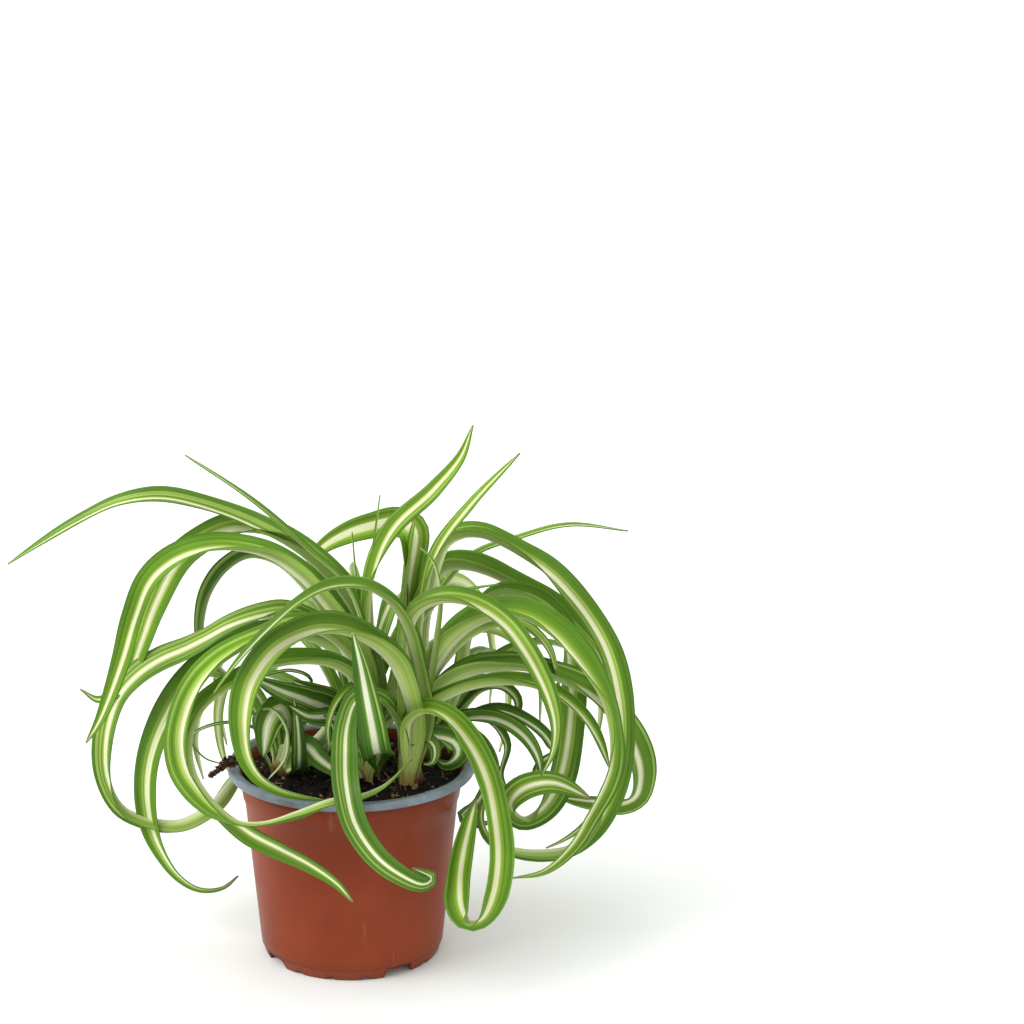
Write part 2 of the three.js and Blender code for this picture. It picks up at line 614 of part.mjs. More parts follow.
function makeSoil() {
  const wallGap = WALL + GAP;
  const topRadius = outerRadius(SOIL_Z) - wallGap;
  const collarZ = POT_HEIGHT - RIM_BAND - COLLAR_HEIGHT - COLLAR_STEP;
  const floorZ = GUTTER_Z + wallGap;
  const profile = [
    [0, wallGap],
    [GUTTER_RADIUS - wallGap - GAP, wallGap],
    [GUTTER_RADIUS - GAP, floorZ],
    [outerRadius(floorZ) - wallGap, floorZ],
    [outerRadius(collarZ) - wallGap, collarZ],
    [topRadius, SOIL_Z],
  ];
  for (const share of [...SOIL_RINGS].reverse().slice(1)) profile.push([topRadius * share, SOIL_Z]);
  profile.push([0, SOIL_Z]);
  const geometry = turned(profile, SOIL_SIDES);
  const position = geometry.attributes.position;
  for (let i = 0; i < position.count; i++) {
    const [x, y, z] = [position.getX(i), position.getY(i), position.getZ(i)];
    const inside = Math.hypot(x, y) < topRadius - 1;
    if (z > SOIL_Z - 1 && inside) position.setZ(i, soilLevel(x, y));
  }
  let soil = solidOf(geometry);
  soil = soil.add(solidOf(rootTuft()));
  for (const { at, radius } of ROSETTES) {
    const hole = turned([
      [0, STOCK_BOTTOM_Z - GAP], [radius + GAP, STOCK_BOTTOM_Z - GAP],
      [radius + GAP, SOIL_Z + 5], [0, SOIL_Z + 5],
    ], 16);
    soil = soil.subtract(solidOf(hole.translate(at[0], at[1], 0)));
  }
  return geometryOf(soil);
}

// A matted wisp of root and peat that lies across the rim on the left.
const TUFT_ROUTE = [[-43, -4, 88], [-48, -7, 97], [-54, -10, 101.5], [-60, -13, 101], [-67, -15, 95]];
const TUFT_RADII = [3.2, 3, 2.6, 2.2, 1.2];
const TUFT_SIDES = 7;

function rootTuft() {
  const curve = new THREE.CatmullRomCurve3(TUFT_ROUTE.map((p) => new THREE.Vector3(...p)));
  const rings = [];
  const steps = 8;
  for (let i = 0; i <= steps; i++) {
    const t = i / steps;
    const place = t * (TUFT_RADII.length - 1);
    const slot = Math.min(Math.floor(place), TUFT_RADII.length - 2);
    const radius = THREE.MathUtils.lerp(TUFT_RADII[slot], TUFT_RADII[slot + 1], place - slot);
    const centre = curve.getPoint(t);
    const across = new THREE.Vector3(0.1, 1, 0).cross(curve.getTangent(t)).normalize();
    const side = curve.getTangent(t).cross(across).normalize();
    const ring = [];
    for (let k = 0; k < TUFT_SIDES; k++) {
      const turn = (2 * Math.PI * k) / TUFT_SIDES;
      const rough = radius * (1 + 0.16 * Math.sin(2.4 * k + 1.7 * i));
      ring.push(centre.clone()
        .addScaledVector(side, rough * 1.5 * Math.cos(turn))
        .addScaledVector(across, rough * 0.8 * Math.sin(turn)));
    }
    rings.push(ring);
  }
  return skinned(rings);
}

// Skins closed rings of points, each with the same count, and caps both ends with a fan.
function skinned(rings) {
  const count = rings[0].length;
  const positions = rings.flat().flatMap((p) => [p.x, p.y, p.z]);
  const index = [];
  for (let i = 0; i + 1 < rings.length; i++) {
    for (let k = 0; k < count; k++) {
      const a = i * count + k;
      const b = i * count + ((k + 1) % count);
      index.push(a, b + count, b, a, a + count, b + count);
    }
  }
  const last = (rings.length - 1) * count;
  for (let k = 1; k + 1 < count; k++) {
    index.push(0, k, k + 1);
    index.push(last, last + k + 1, last + k);
  }
  const geometry = new THREE.BufferGeometry();
  geometry.setAttribute('position', new THREE.Float32BufferAttribute(positions, 3));
  geometry.setIndex(index);
  return geometry;
}

// ---------------------------------------------------------------- leaves
const aim = new THREE.Matrix4().makeRotationZ(-EYE_PAN)
  .multiply(new THREE.Matrix4().makeRotationX(Math.PI / 2 - EYE_PITCH))
  .multiply(new THREE.Matrix4().makeRotationZ(EYE_TILT));

// Where the sight line through one dot of the picture meets the plane y = depth.
function placeSeen([across, down, depth]) {
  const sight = new THREE.Vector3(across - PICTURE_MIDDLE, PICTURE_MIDDLE - down, -PICTURE_REACH);
  sight.applyMatrix4(aim);
  return EYE.clone().addScaledVector(sight, (depth - EYE.y) / sight.y);
}

// The direction of a leaf's width at roll 0: level and straight away from the eye, or towards
// it where the top of the leaf runs rightwards.
function guideAway(places) {
  let top = 1;
  places.forEach((place, i) => {
    if (i > 0 && place.z > places[top].z) top = i;
  });
  const run = places[Math.min(top + 1, places.length - 1)].x - places[top - 1].x;
  const sign = run < 0 ? 1 : -1;
  return (centre) => new THREE.Vector3(centre.x - EYE.x, centre.y - EYE.y, 0).multiplyScalar(sign);
}

// A leaf is narrow where it leaves its rosette and runs out to a point.
function leafWidth(width, share, taper) {
  const opened = Math.min(1, share / OPEN_SHARE);
  const narrow = BASE_WIDTH + (1 - BASE_WIDTH) * opened * opened * (3 - 2 * opened);
  return Math.max(TIP_WIDTH, width * narrow * Math.pow(1 - Math.pow(share, taper), 0.75));
}

// The roll and fold, in radians, at a share of the leaf's length.
function bendAt(shares, bends, share) {
  let i = 0;
  while (i < shares.length - 2 && share >= shares[i + 1]) i++;
  const part = (share - shares[i]) / (shares[i + 1] - shares[i]);
  const [roll, fold] = [0, 1].map((k) => THREE.MathUtils.lerp(bends[i][k], bends[i + 1][k], part));
  return [THREE.MathUtils.degToRad(roll), THREE.MathUtils.degToRad(fold)];
}

// Keeps a section of the leaf wherever it has bent, twisted or run far enough since the last.
function sectionsOf({ places, bends, guide }) {
  const fine = 16; // steps between two places, and 300 along the whole leaf
  const steps = 300;
  const curve = new THREE.CatmullRomCurve3(places, false, 'centripetal');
  curve.arcLengthDivisions = fine * (places.length - 1);
  const marks = curve.getLengths();
  const length = curve.getLength();
  const shares = places.map((place, i) => marks[i * fine] / length);
  const kept = [];
  let run = 0;
  let turn = 0;
  let before = curve.getTangentAt(0);
  for (let i = 0; i <= steps; i++) {
    const share = i / steps;
    const along = curve.getTangentAt(share);
    const centre = curve.getPointAt(share);
    const [roll, fold] = bendAt(shares, bends, share);
    const across = guide(centre);
    across.addScaledVector(along, -across.dot(along)).normalize().applyAxisAngle(along, roll);
    run += length / steps;
    turn += before.angleTo(along);
    before = along;
    const twist = kept.length ? kept[kept.length - 1].across.angleTo(across) : 0;
    const due = run > LONGEST_STEP || turn > THREE.MathUtils.degToRad(SHARPEST_TURN)
      || twist > THREE.MathUtils.degToRad(SHARPEST_TWIST);
    if (i === 0 || i === steps || due) {
      kept.push({ share, centre, across, face: across.clone().cross(along), fold });
      run = 0;
      turn = 0;
    }
  }
  return kept;
}

// The blade is two flat halves folded up from the midrib. Both faces are split into triangles
// along the same diagonals, so they stay one thickness apart.
function leafGeometry(leaf) {
  const sections = sectionsOf(leaf);
  const positions = [];
  for (const { share, centre, across, face, fold } of sections) {
    const wide = leafWidth(leaf.width, share, leaf.taper ?? TAPER);
    for (const half of [-BLADE / 2, BLADE / 2]) {
      for (const place of [-0.5, 0, 0.5]) {
        const lift = half / Math.cos(fold) + Math.abs(place) * wide * Math.sin(fold);
        const point = centre.clone().addScaledVector(across, place * wide * Math.cos(fold));
        point.addScaledVector(face, lift);
        positions.push(point.x, point.y, point.z);
      }
    }
  }
  const index = [];
  const quad = (a, b, c, d) => index.push(a, b, c, a, c, d);
  const row = 6; // points in each section: three below, three above
  for (let i = 0; i + 1 < sections.length; i++) {
    const here = i * row;
    const next = here + row;
    for (const k of [0, 1]) {
      quad(here + 3 + k, here + 4 + k, next + 4 + k, next + 3 + k);
      index.push(here + k, next + 1 + k, here + 1 + k, here + k, next + k, next + 1 + k);
    }
    quad(here, here + 3, next + 3, next);
    quad(here + 2, next + 2, next + 5, here + 5);
  }
  const end = (sections.length - 1) * row;
  for (const k of [0, 1]) {
    quad(k, k + 1, k + 4, k + 3);
    quad(end + k, end + 3 + k, end + 4 + k, end + 1 + k);
  }
  const geometry = new THREE.BufferGeometry();
  geometry.setAttribute('position', new THREE.Float32BufferAttribute(positions, 3));
  geometry.setIndex(index);
  return geometry;
}

function archPlaces([x, y], { heading, length, lean, bend }) {
  const way = THREE.MathUtils.degToRad(heading);
  const outward = new THREE.Vector3(Math.cos(way), Math.sin(way), 0);
  const places = [new THREE.Vector3(x, y, LEAF_START_Z).addScaledVector(outward, 4)];
  const step = length / (ARCH_POINTS - 1);
  for (let i = 1; i < ARCH_POINTS; i++) {
    const share = (i - 0.5) / (ARCH_POINTS - 1);
    const tilt = THREE.MathUtils.degToRad(lean + bend * Math.pow(share, 1.25));
    const place = places[i - 1].clone().addScaledVector(outward, step * Math.sin(tilt));
    place.z += step * Math.cos(tilt);
    places.push(place);
  }
  return places;
}

function leavesOf({ at, leaves, arches }) {
  const seen = leaves.map((leaf) => {
    const places = [new THREE.Vector3(...leaf.from, LEAF_START_Z), ...leaf.seen.map(placeSeen)];
    const bends = [[0, BASE_FOLD], ...leaf.seen.map((spot) => spot.slice(3))];
    return { ...leaf, places, bends, guide: guideAway(places) };
  });
  const arching = arches.map((arch) => {
    const places = archPlaces(at, arch);
    const bends = places.map((place, i) => [
      0, THREE.MathUtils.lerp(BASE_FOLD, ARCH_FOLD, i / (ARCH_POINTS - 1)),
    ]);
    const across = places[ARCH_POINTS - 1].clone().sub(places[0]).cross(new THREE.Vector3(0, 0, 1));
    return { ...arch, places, bends, guide: () => across.clone() };
  });
  return [...seen, ...arching];
}

function makeRosette(rosette) {
  const { at, radius } = rosette;
  const stock = turned([
    [0, STOCK_BOTTOM_Z], [radius, STOCK_BOTTOM_Z], [radius, STOCK_TOP_Z - 6],
    [radius * 0.8, STOCK_TOP_Z - 2], [radius * 0.45, STOCK_TOP_Z], [0, STOCK_TOP_Z],
  ], 16);
  let solid = solidOf(stock.translate(at[0], at[1], 0));
  for (const leaf of leavesOf(rosette)) solid = solid.add(solidOf(leafGeometry(leaf)));
  // Where leaves press together they seal small pockets, which are filled.
  const filled = solid.decompose().filter((body) => body.volume() > 0);
  return geometryOf(filled[0]);
}

// ---------------------------------------------------------------- the plant
function piece(name, geometry, colour, roughness) {
  const material = new THREE.MeshStandardMaterial({ color: colour, roughness, metalness: 0 });
  const mesh = new THREE.Mesh(geometry, material);
  mesh.name = name;
  return mesh;
}

const plant = new THREE.Group();
plant.add(piece('pot', makePot(), COLOURS.pot, 0.5));
plant.add(piece('soil', makeSoil(), COLOURS.soil, 0.95));
for (const rosette of ROSETTES) {
  plant.add(piece(rosette.name, makeRosette(rosette), COLOURS[rosette.colour], 0.45));
}

export default plant;
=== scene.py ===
# %% [markdown]
# # A curly spider plant in its nursery pot
#
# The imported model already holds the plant's construction: a pot, its soil, and five rosettes
# of leaves, all at their real size. This lesson keeps every one of them where it is and makes
# the surfaces that the faceted solids only suggest: thin ribbon leaves with a pale stripe, a
# moulded pot with a chalky rim, and crumbly soil.

import math
import random

import bmesh
import bpy
from mathutils import Matrix, Vector, noise


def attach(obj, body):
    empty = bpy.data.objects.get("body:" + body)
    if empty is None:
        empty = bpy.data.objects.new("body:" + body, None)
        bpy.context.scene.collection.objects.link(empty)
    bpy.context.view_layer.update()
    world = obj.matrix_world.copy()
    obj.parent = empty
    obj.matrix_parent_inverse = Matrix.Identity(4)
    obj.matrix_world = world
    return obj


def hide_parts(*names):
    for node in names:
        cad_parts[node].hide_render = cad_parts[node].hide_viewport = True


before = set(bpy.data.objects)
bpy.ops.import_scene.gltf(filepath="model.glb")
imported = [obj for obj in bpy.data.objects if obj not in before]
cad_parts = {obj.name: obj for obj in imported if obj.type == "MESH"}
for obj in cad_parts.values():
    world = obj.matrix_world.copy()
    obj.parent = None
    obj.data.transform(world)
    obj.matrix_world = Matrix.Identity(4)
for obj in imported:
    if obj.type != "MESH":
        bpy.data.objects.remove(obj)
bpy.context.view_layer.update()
MM = 0.001

# %% [markdown]
# ## The camera
#
# A photograph fixes seven numbers: how far away the eye is and how high, how far it is panned,
# pitched and tilted, and the lens. They were found from the ovals of the pot's rim and foot.
# The camera comes first because the leaves are placed with it: a place on a leaf is given as
# the dot of the picture that it covers and its depth behind or before the pot's axis.

# %% Camera
PICTURE_SIDE = 1024  # dots
FOCAL_LENGTH = 2607  # dots
EYE_DISTANCE = 1200  # mm
EYE_HEIGHT = 530.4
SENSOR_WIDTH = 36
FAR_LIMIT = 30  # m
PAN = math.radians(3.669)
PITCH = math.radians(14.44)
TILT = math.radians(0.587)

camera_data = bpy.data.cameras.new("camera")
camera_data.sensor_width = SENSOR_WIDTH
camera_data.lens = FOCAL_LENGTH * SENSOR_WIDTH / PICTURE_SIDE
camera_data.clip_end = FAR_LIMIT
camera = bpy.data.objects.new("camera", camera_data)
aim = (
    Matrix.Rotation(-PAN, 4, "Z")
    @ Matrix.Rotation(math.pi / 2 - PITCH, 4, "X")
    @ Matrix.Rotation(TILT, 4, "Z")
)
eye = Vector((0, -EYE_DISTANCE, EYE_HEIGHT))
camera.matrix_world = Matrix.Translation(eye * MM) @ aim
bpy.context.scene.collection.objects.link(camera)
bpy.context.scene.camera = camera


def place_seen(across, down, depth):
    """Where the sight line through one dot of the picture meets the plane y = depth, in mm."""
    middle = PICTURE_SIDE / 2
    sight = aim.to_3x3() @ Vector((across - middle, middle - down, -FOCAL_LENGTH))
    return eye + sight * ((depth - eye.y) / sight.y)


print("the lens is", round(camera_data.lens, 1), "mm")

# %% [markdown]
# ## The leaves that the picture shows
#
# Each leaf starts in its rosette, at `start` in mm, and passes the places in `seen`: dots
# across and down the picture, the depth in mm, and then, in degrees, how far the blade is
# rolled about its own line and how far each half is folded up from it. `width` is its widest,
# and `youth` runs from 0, an old dark leaf, to 1, a fresh bright one. A higher `taper` keeps a
# leaf wide until nearer its tip, and `stripe` widens or narrows its pale stripe.

# %% Leaves of the main rosette
TAPER = 3


def leaf(name, start, width, youth, seen, taper=TAPER, stripe=1):
    return dict(name=name, start=start, width=width, youth=youth, seen=seen, taper=taper, stripe=stripe)


MAIN_LEAVES = [
    leaf("front ring", (25, -14), width=22.8, youth=0.5, seen=[
        (409, 726, -19, 0, 60), (403, 695, -26, 0, 60), (388, 663, -34, 3, 58), (368, 645, -41, 0, 56),
        (345, 635, -46, -12, 54), (320, 633, -50, -24, 50), (298, 639, -54, -32, 46),
        (278, 650, -57, -40, 42), (262, 667, -60, -48, 40), (251, 687, -62, -52, 40),
        (246, 712, -64, -52, 40), (246, 737, -64, -50, 40), (250, 758, -64, -50, 38),
        (261, 776, -64, -48, 36), (279, 788, -64, -45, 34), (300, 795, -63, -42, 32),
        (325, 800, -62, -40, 30),
    ]),
    leaf("arch left", (28, -12), width=18, youth=0.35, taper=1.8, seen=[
        (419, 722, -17, 0, 60), (417, 690, -20, 0, 60), (411, 655, -24, 0, 56), (403, 627, -29, 0, 50),
        (389, 604, -35, 0, 44), (370, 591, -40, -2, 38), (348, 587, -45, -6, 34), (324, 591, -50, -10, 32),
        (300, 604, -54, -12, 32), (278, 622, -57, -14, 32), (256, 643, -60, -14, 32),
        (236, 665, -63, -14, 30), (214, 693, -64, -14, 28),
    ]),
    leaf("front drop", (23, -15), width=13.2, youth=0.2, taper=7, stripe=0.7, seen=[
        (400, 744, -18, 0, 55), (394, 720, -24, 0, 46), (380, 702, -31, -5, 38), (358, 701, -38, -20, 32),
        (348, 724, -44, -55, 24), (345, 755, -56, -80, 18), (347, 790, -72, -88, 18),
        (355, 823, -79, -90, 18), (376, 855, -83, -88, 18), (400, 874, -84, -86, 15),
        (424, 884, -83, -84, 12), (432, 878, -80, -76, 12), (412, 868, -78, -60, 12),
    ]),
    leaf("right drop", (29, -15), width=16.5, youth=0.6, taper=11, seen=[
        (410, 742, -21, 0, 58), (412, 722, -25, 4, 52), (425, 713, -29, 8, 44), (446, 720, -35, 14, 36),
        (468, 744, -43, 28, 24), (485, 778, -50, 40, 22), (494, 820, -56, 47, 30), (497, 858, -60, 50, 32),
        (492, 895, -61, 55, 30), (481, 918, -60, 38, 22), (470, 921, -57, 36, 20), (462, 905, -53, 60, 35),
        (460, 880, -50, 80, 45), (463, 855, -48, 80, 42), (469, 828, -45, 75, 38), (476, 800, -43, 70, 35),
    ]),
    leaf("right arch", (27, -11), width=20, youth=0.6, seen=[
        (414, 706, -18, 0, 60), (411, 655, -22, -3, 58), (418, 617, -25, -3, 52), (438, 604, -28, 0, 46),
        (462, 604, -30, 6, 42), (485, 613, -32, 20, 38), (505, 628, -34, 32, 36), (521, 648, -37, 42, 34),
        (536, 673, -39, 46, 34), (548, 700, -41, 46, 34), (554, 725, -42, 46, 32), (552, 750, -42, 45, 30),
        (541, 776, -42, 45, 30),
    ]),
    leaf("right big", (31, -8), width=24, youth=0.55, seen=[
        (421, 712, -9, 0, 60), (437, 672, -9, -5, 60), (462, 638, -10, -3, 58), (492, 620, -12, 6, 54),
        (520, 618, -14, 20, 50), (545, 630, -15, 28, 46), (566, 649, -16, 28, 42), (586, 674, -16, 20, 40),
        (602, 702, -16, 12, 38), (610, 735, -16, 14, 30), (610, 765, -18, 28, 30), (602, 789, -20, 42, 36),
        (588, 815, -23, 48, 38), (572, 843, -26, 50, 34), (545, 869, -29, 45, 30), (513, 878, -32, 45, 30),
    ]),
    leaf("right mid", (31, -5), width=14, youth=0.5, seen=[
        (423, 706, -3, 0, 60), (446, 664, 0, -8, 56), (478, 634, 4, -4, 50), (515, 626, 10, 8, 42),
        (545, 647, 16, 20, 36), (560, 690, 20, 30, 30),
    ]),
    leaf("tall right", (28, -4), width=13, youth=0.6, taper=2, seen=[
        (418, 700, 0, 0, 58), (424, 612, 2, 5, 46), (438, 553, 4, 28, 38), (469, 508, 8, 50, 32),
        (520, 453, 14, 50, 30),
    ]),
    leaf("thin right", (26, -5), width=7, youth=0.6, seen=[
        (416, 690, 2, 0, 60), (424, 620, 6, 0, 50), (452, 596, 10, 5, 40), (498, 584, 12, 10, 30),
    ]),
    leaf("little front", (30, -10), width=8, youth=0.5, seen=[
        (423, 706, -13, 0, 60), (434, 640, -16, 5, 45), (439, 592, -16, 15, 35), (432, 560, -14, 0, 30),
        (420, 548, -12, -20, 25),
    ]),
    leaf("right low front", (32, -11), width=15, youth=0.4, taper=4, seen=[
        (418, 730, -15, 0, 60), (427, 712, -18, -4, 58), (446, 700, -20, -8, 56), (470, 690, -22, -4, 52),
        (498, 685, -22, 0, 48), (525, 686, -20, 5, 44), (546, 692, -17, 10, 42), (566, 703, -13, 18, 38),
        (585, 721, -8, 28, 34), (599, 743, -3, 36, 30), (609, 767, 0, 40, 28),
    ]),
    leaf("right outer", (33, -8), width=21.2, youth=0.3, taper=7, seen=[
        (421, 722, -9, 0, 60), (446, 692, -7, -8, 58), (472, 676, -3, -4, 54), (500, 671, 3, 0, 50),
        (525, 671, 8, 5, 46), (545, 677, 13, 10, 44), (567, 685, 19, 14, 42), (592, 698, 27, 24, 38),
        (613, 717, 34, 34, 36), (629, 740, 40, 42, 34), (638, 764, 45, 45, 33), (639, 782, 49, 46, 32),
        (634, 797, 52, 52, 26), (620, 803, 54, 58, 22), (600, 801, 54, 60, 20), (578, 799, 52, 60, 20),
        (556, 796, 50, 60, 20),
    ]),
    leaf("front curl", (33, -12), width=10, youth=0.2, seen=[
        (414, 748, -15, 0, 50), (426, 740, -17, 30, 30), (434, 748, -20, 50, 20), (432, 762, -22, 60, 20),
        (424, 764, -24, 60, 20),
    ]),
    leaf("front curl b", (34, -9), width=14, youth=0.1, taper=8, seen=[
        (416, 742, -13, 0, 50), (428, 738, -11, 15, 40), (444, 739, -8, 40, 26), (454, 743, -7, 60, 18),
        (458, 752, -7, 65, 15), (452, 760, -10, 60, 15), (443, 763, -14, 50, 15), (436, 758, -13, 40, 15),
    ]),
]

# %% Leaves of the left rosette
LEFT_LEAVES = [
    leaf("long left", (6, -2), width=18, youth=0.35, stripe=0.55, seen=[
        (373, 690, 2, 0, 60), (347, 606, 10, 0, 60), (304, 558, 16, -5, 50), (250, 526, 20, -24, 38),
        (200, 507, 21, -24, 36), (160, 499, 22, -24, 34), (120, 504, 23, -22, 32), (85, 519, 24, -20, 32),
        (8, 564, 24, -20, 30),
    ]),
    leaf("thin left", (8, -6), width=7, youth=0.3, seen=[
        (370, 680, -6, 0, 55), (348, 590, -8, -10, 50), (305, 548, -10, -15, 45), (250, 500, -8, -25, 40),
        (185, 455, -4, -30, 35),
    ]),
    leaf("high left far", (5, 0), width=21, youth=0.55, seen=[
        (366, 700, 6, 0, 60), (357, 640, 9, 0, 60), (344, 600, 12, 0, 58), (318, 566, 16, -2, 50),
        (290, 544, 20, -2, 45), (262, 534, 23, -8, 42), (232, 531, 26, -38, 37), (205, 541, 28, -54, 33),
        (180, 560, 30, -60, 28), (157, 602, 31, -62, 22), (141, 645, 31, -62, 22), (128, 678, 30, -60, 20),
        (112, 696, 29, -50, 20), (97, 700, 28, -40, 20), (80, 689, 27, -30, 20),
    ]),
    leaf("high left", (4, -6), width=22, youth=0.45, seen=[
        (364, 700, -4, 0, 60), (353, 655, -3, 0, 60), (335, 622, -2, 3, 60), (302, 583, -1, 0, 58),
        (272, 560, 0, -3, 50), (240, 551, 0, -6, 40), (205, 551, -1, -14, 34), (172, 563, -2, -36, 35),
        (151, 582, -5, -48, 40), (136, 618, -8, -52, 42), (123, 660, -12, -62, 32), (100, 720, -16, -65, 22),
        (86, 743, -18, -65, 20),
    ]),
    leaf("dark mid left", (4, 3), width=15, youth=0.12, taper=6, seen=[
        (354, 685, 12, 0, 60), (332, 630, 18, 0, 60), (300, 586, 26, 0, 55), (275, 564, 32, -5, 50),
        (250, 558, 35, -14, 50), (228, 570, 38, -18, 50), (212, 592, 40, -18, 49), (205, 615, 41, -18, 49),
        (204, 637, 40, -18, 48), (211, 655, 36, -14, 46), (226, 672, 30, -8, 45), (246, 688, 26, 0, 45),
    ]),
    leaf("low left hook", (3, -2), width=16.5, youth=0.35, taper=10, seen=[
        (354, 690, 4, 0, 60), (337, 645, 8, 0, 58), (310, 622, 9, 0, 50), (285, 614, 10, -5, 40),
        (262, 617, 12, -12, 28), (230, 627, 14, -18, 15), (205, 640, 17, -20, 8), (185, 650, 20, -22, 8),
        (160, 661, 23, -25, 10), (138, 676, 25, -30, 14), (120, 697, 27, -32, 18), (108, 735, 28, -35, 25),
        (109, 778, 26, -35, 28), (124, 806, 24, -32, 45), (145, 816, 22, -26, 58), (178, 820, 20, -14, 58),
        (210, 803, 24, 12, 50), (234, 778, 42, 40, 45), (254, 755, 60, 50, 45),
    ]),
    leaf("low left tail", (2, 1), width=20, youth=0.35, taper=3.1, seen=[
        (352, 690, 10, 0, 60), (333, 655, 13, 0, 55), (300, 638, 17, -3, 45), (262, 638, 21, -10, 36),
        (222, 654, 24, -22, 32), (190, 682, 26, -36, 28), (165, 722, 26, -45, 25), (151, 760, 24, -50, 25),
        (148, 795, 22, -52, 25), (153, 828, 19, -50, 25), (164, 854, 17, -45, 25), (180, 876, 15, -42, 25),
        (200, 888, 14, -40, 25), (222, 887, 13, -40, 25), (238, 876, 12, -50, 25),
    ]),
    leaf("front left sweep", (6, -10), width=17.5, youth=0.35, taper=5, seen=[
        (368, 712, -14, 0, 60), (352, 682, -22, 0, 55), (330, 667, -28, 0, 50), (300, 664, -34, -3, 45),
        (270, 669, -39, -5, 42), (243, 682, -42, -8, 42), (222, 694, -44, -10, 42), (204, 710, -46, -12, 45),
        (194, 730, -49, -14, 45), (192, 752, -52, -14, 45), (197, 775, -56, -14, 45),
        (210, 796, -59, -20, 40), (230, 816, -62, -40, 30), (252, 833, -65, -58, 25),
        (280, 848, -68, -66, 24), (310, 864, -71, -68, 24), (338, 884, -73, -66, 24),
        (353, 902, -74, -60, 24),
    ]),
    leaf("front left ring", (3, -8), width=19, youth=0.5, taper=4.2, seen=[
        (358, 690, -8, 0, 60), (346, 656, -13, 0, 58), (320, 635, -19, 0, 52), (292, 631, -24, -3, 48),
        (262, 642, -29, -5, 45), (238, 653, -34, -8, 42), (218, 667, -40, -14, 42), (200, 687, -46, -28, 42),
        (188, 711, -52, -42, 42), (182, 740, -58, -50, 42), (186, 766, -63, -50, 42),
        (197, 785, -68, -48, 40), (215, 805, -72, -38, 32), (237, 820, -74, -22, 18),
        (263, 822, -73, -19, 14), (298, 811, -71, -22, 30), (330, 799, -68, -22, 36),
        (358, 795, -64, -16, 26), (385, 784, -56, -14, 20), (412, 759, -46, -30, 20),
    ]),
    leaf("tall", (9, -3), width=13.5, youth=0.6, taper=3.4, seen=[
        (376, 700, -2, 0, 60), (370, 635, 0, 0, 50), (374, 578, 4, 20, 40), (393, 530, 8, 55, 30),
        (433, 491, 10, 72, 26), (461, 457, 10, 72, 26), (473, 425, 8, 60, 26),
    ]),
    leaf("spear a", (10, 0), width=5, youth=0.7, seen=[
        (377, 690, 4, 0, 60), (372, 580, 8, 0, 40), (380, 495, 10, 0, 30),
    ]),
    leaf("spear b", (8, 2), width=4, youth=0.6, seen=[
        (366, 690, 6, 0, 60), (357, 600, 10, 0, 40), (352, 532, 12, 0, 30),
    ]),
    leaf("folded spear", (10, -8), width=15.5, youth=0, taper=3.3, stripe=1.2, seen=[
        (378, 752, -19, -60, 40), (379, 752, -36, -90, 20), (376.5, 751, -48, -92, 14),
        (371.5, 722, -56, -94, 14), (365.5, 690, -59, -94, 14), (359.5, 660, -60, -92, 14),
        (352.5, 632, -60, -90, 14),
    ]),
    leaf("short hook", (7, -11), width=10, youth=0.6, seen=[
        (376, 735, -14, 0, 55), (370, 694, -20, 0, 45), (352, 689, -26, 0, 35), (337, 704, -32, -20, 25),
        (329, 727, -35, -30, 25), (330, 750, -36, -40, 25),
    ]),
    leaf("pale curl", (5, -11), width=7, youth=0.5, seen=[
        (346, 748, -24, 20, 40), (358, 750, -28, 30, 25), (361, 764, -31, 40, 20), (350, 769, -32, 40, 20),
    ]),
]

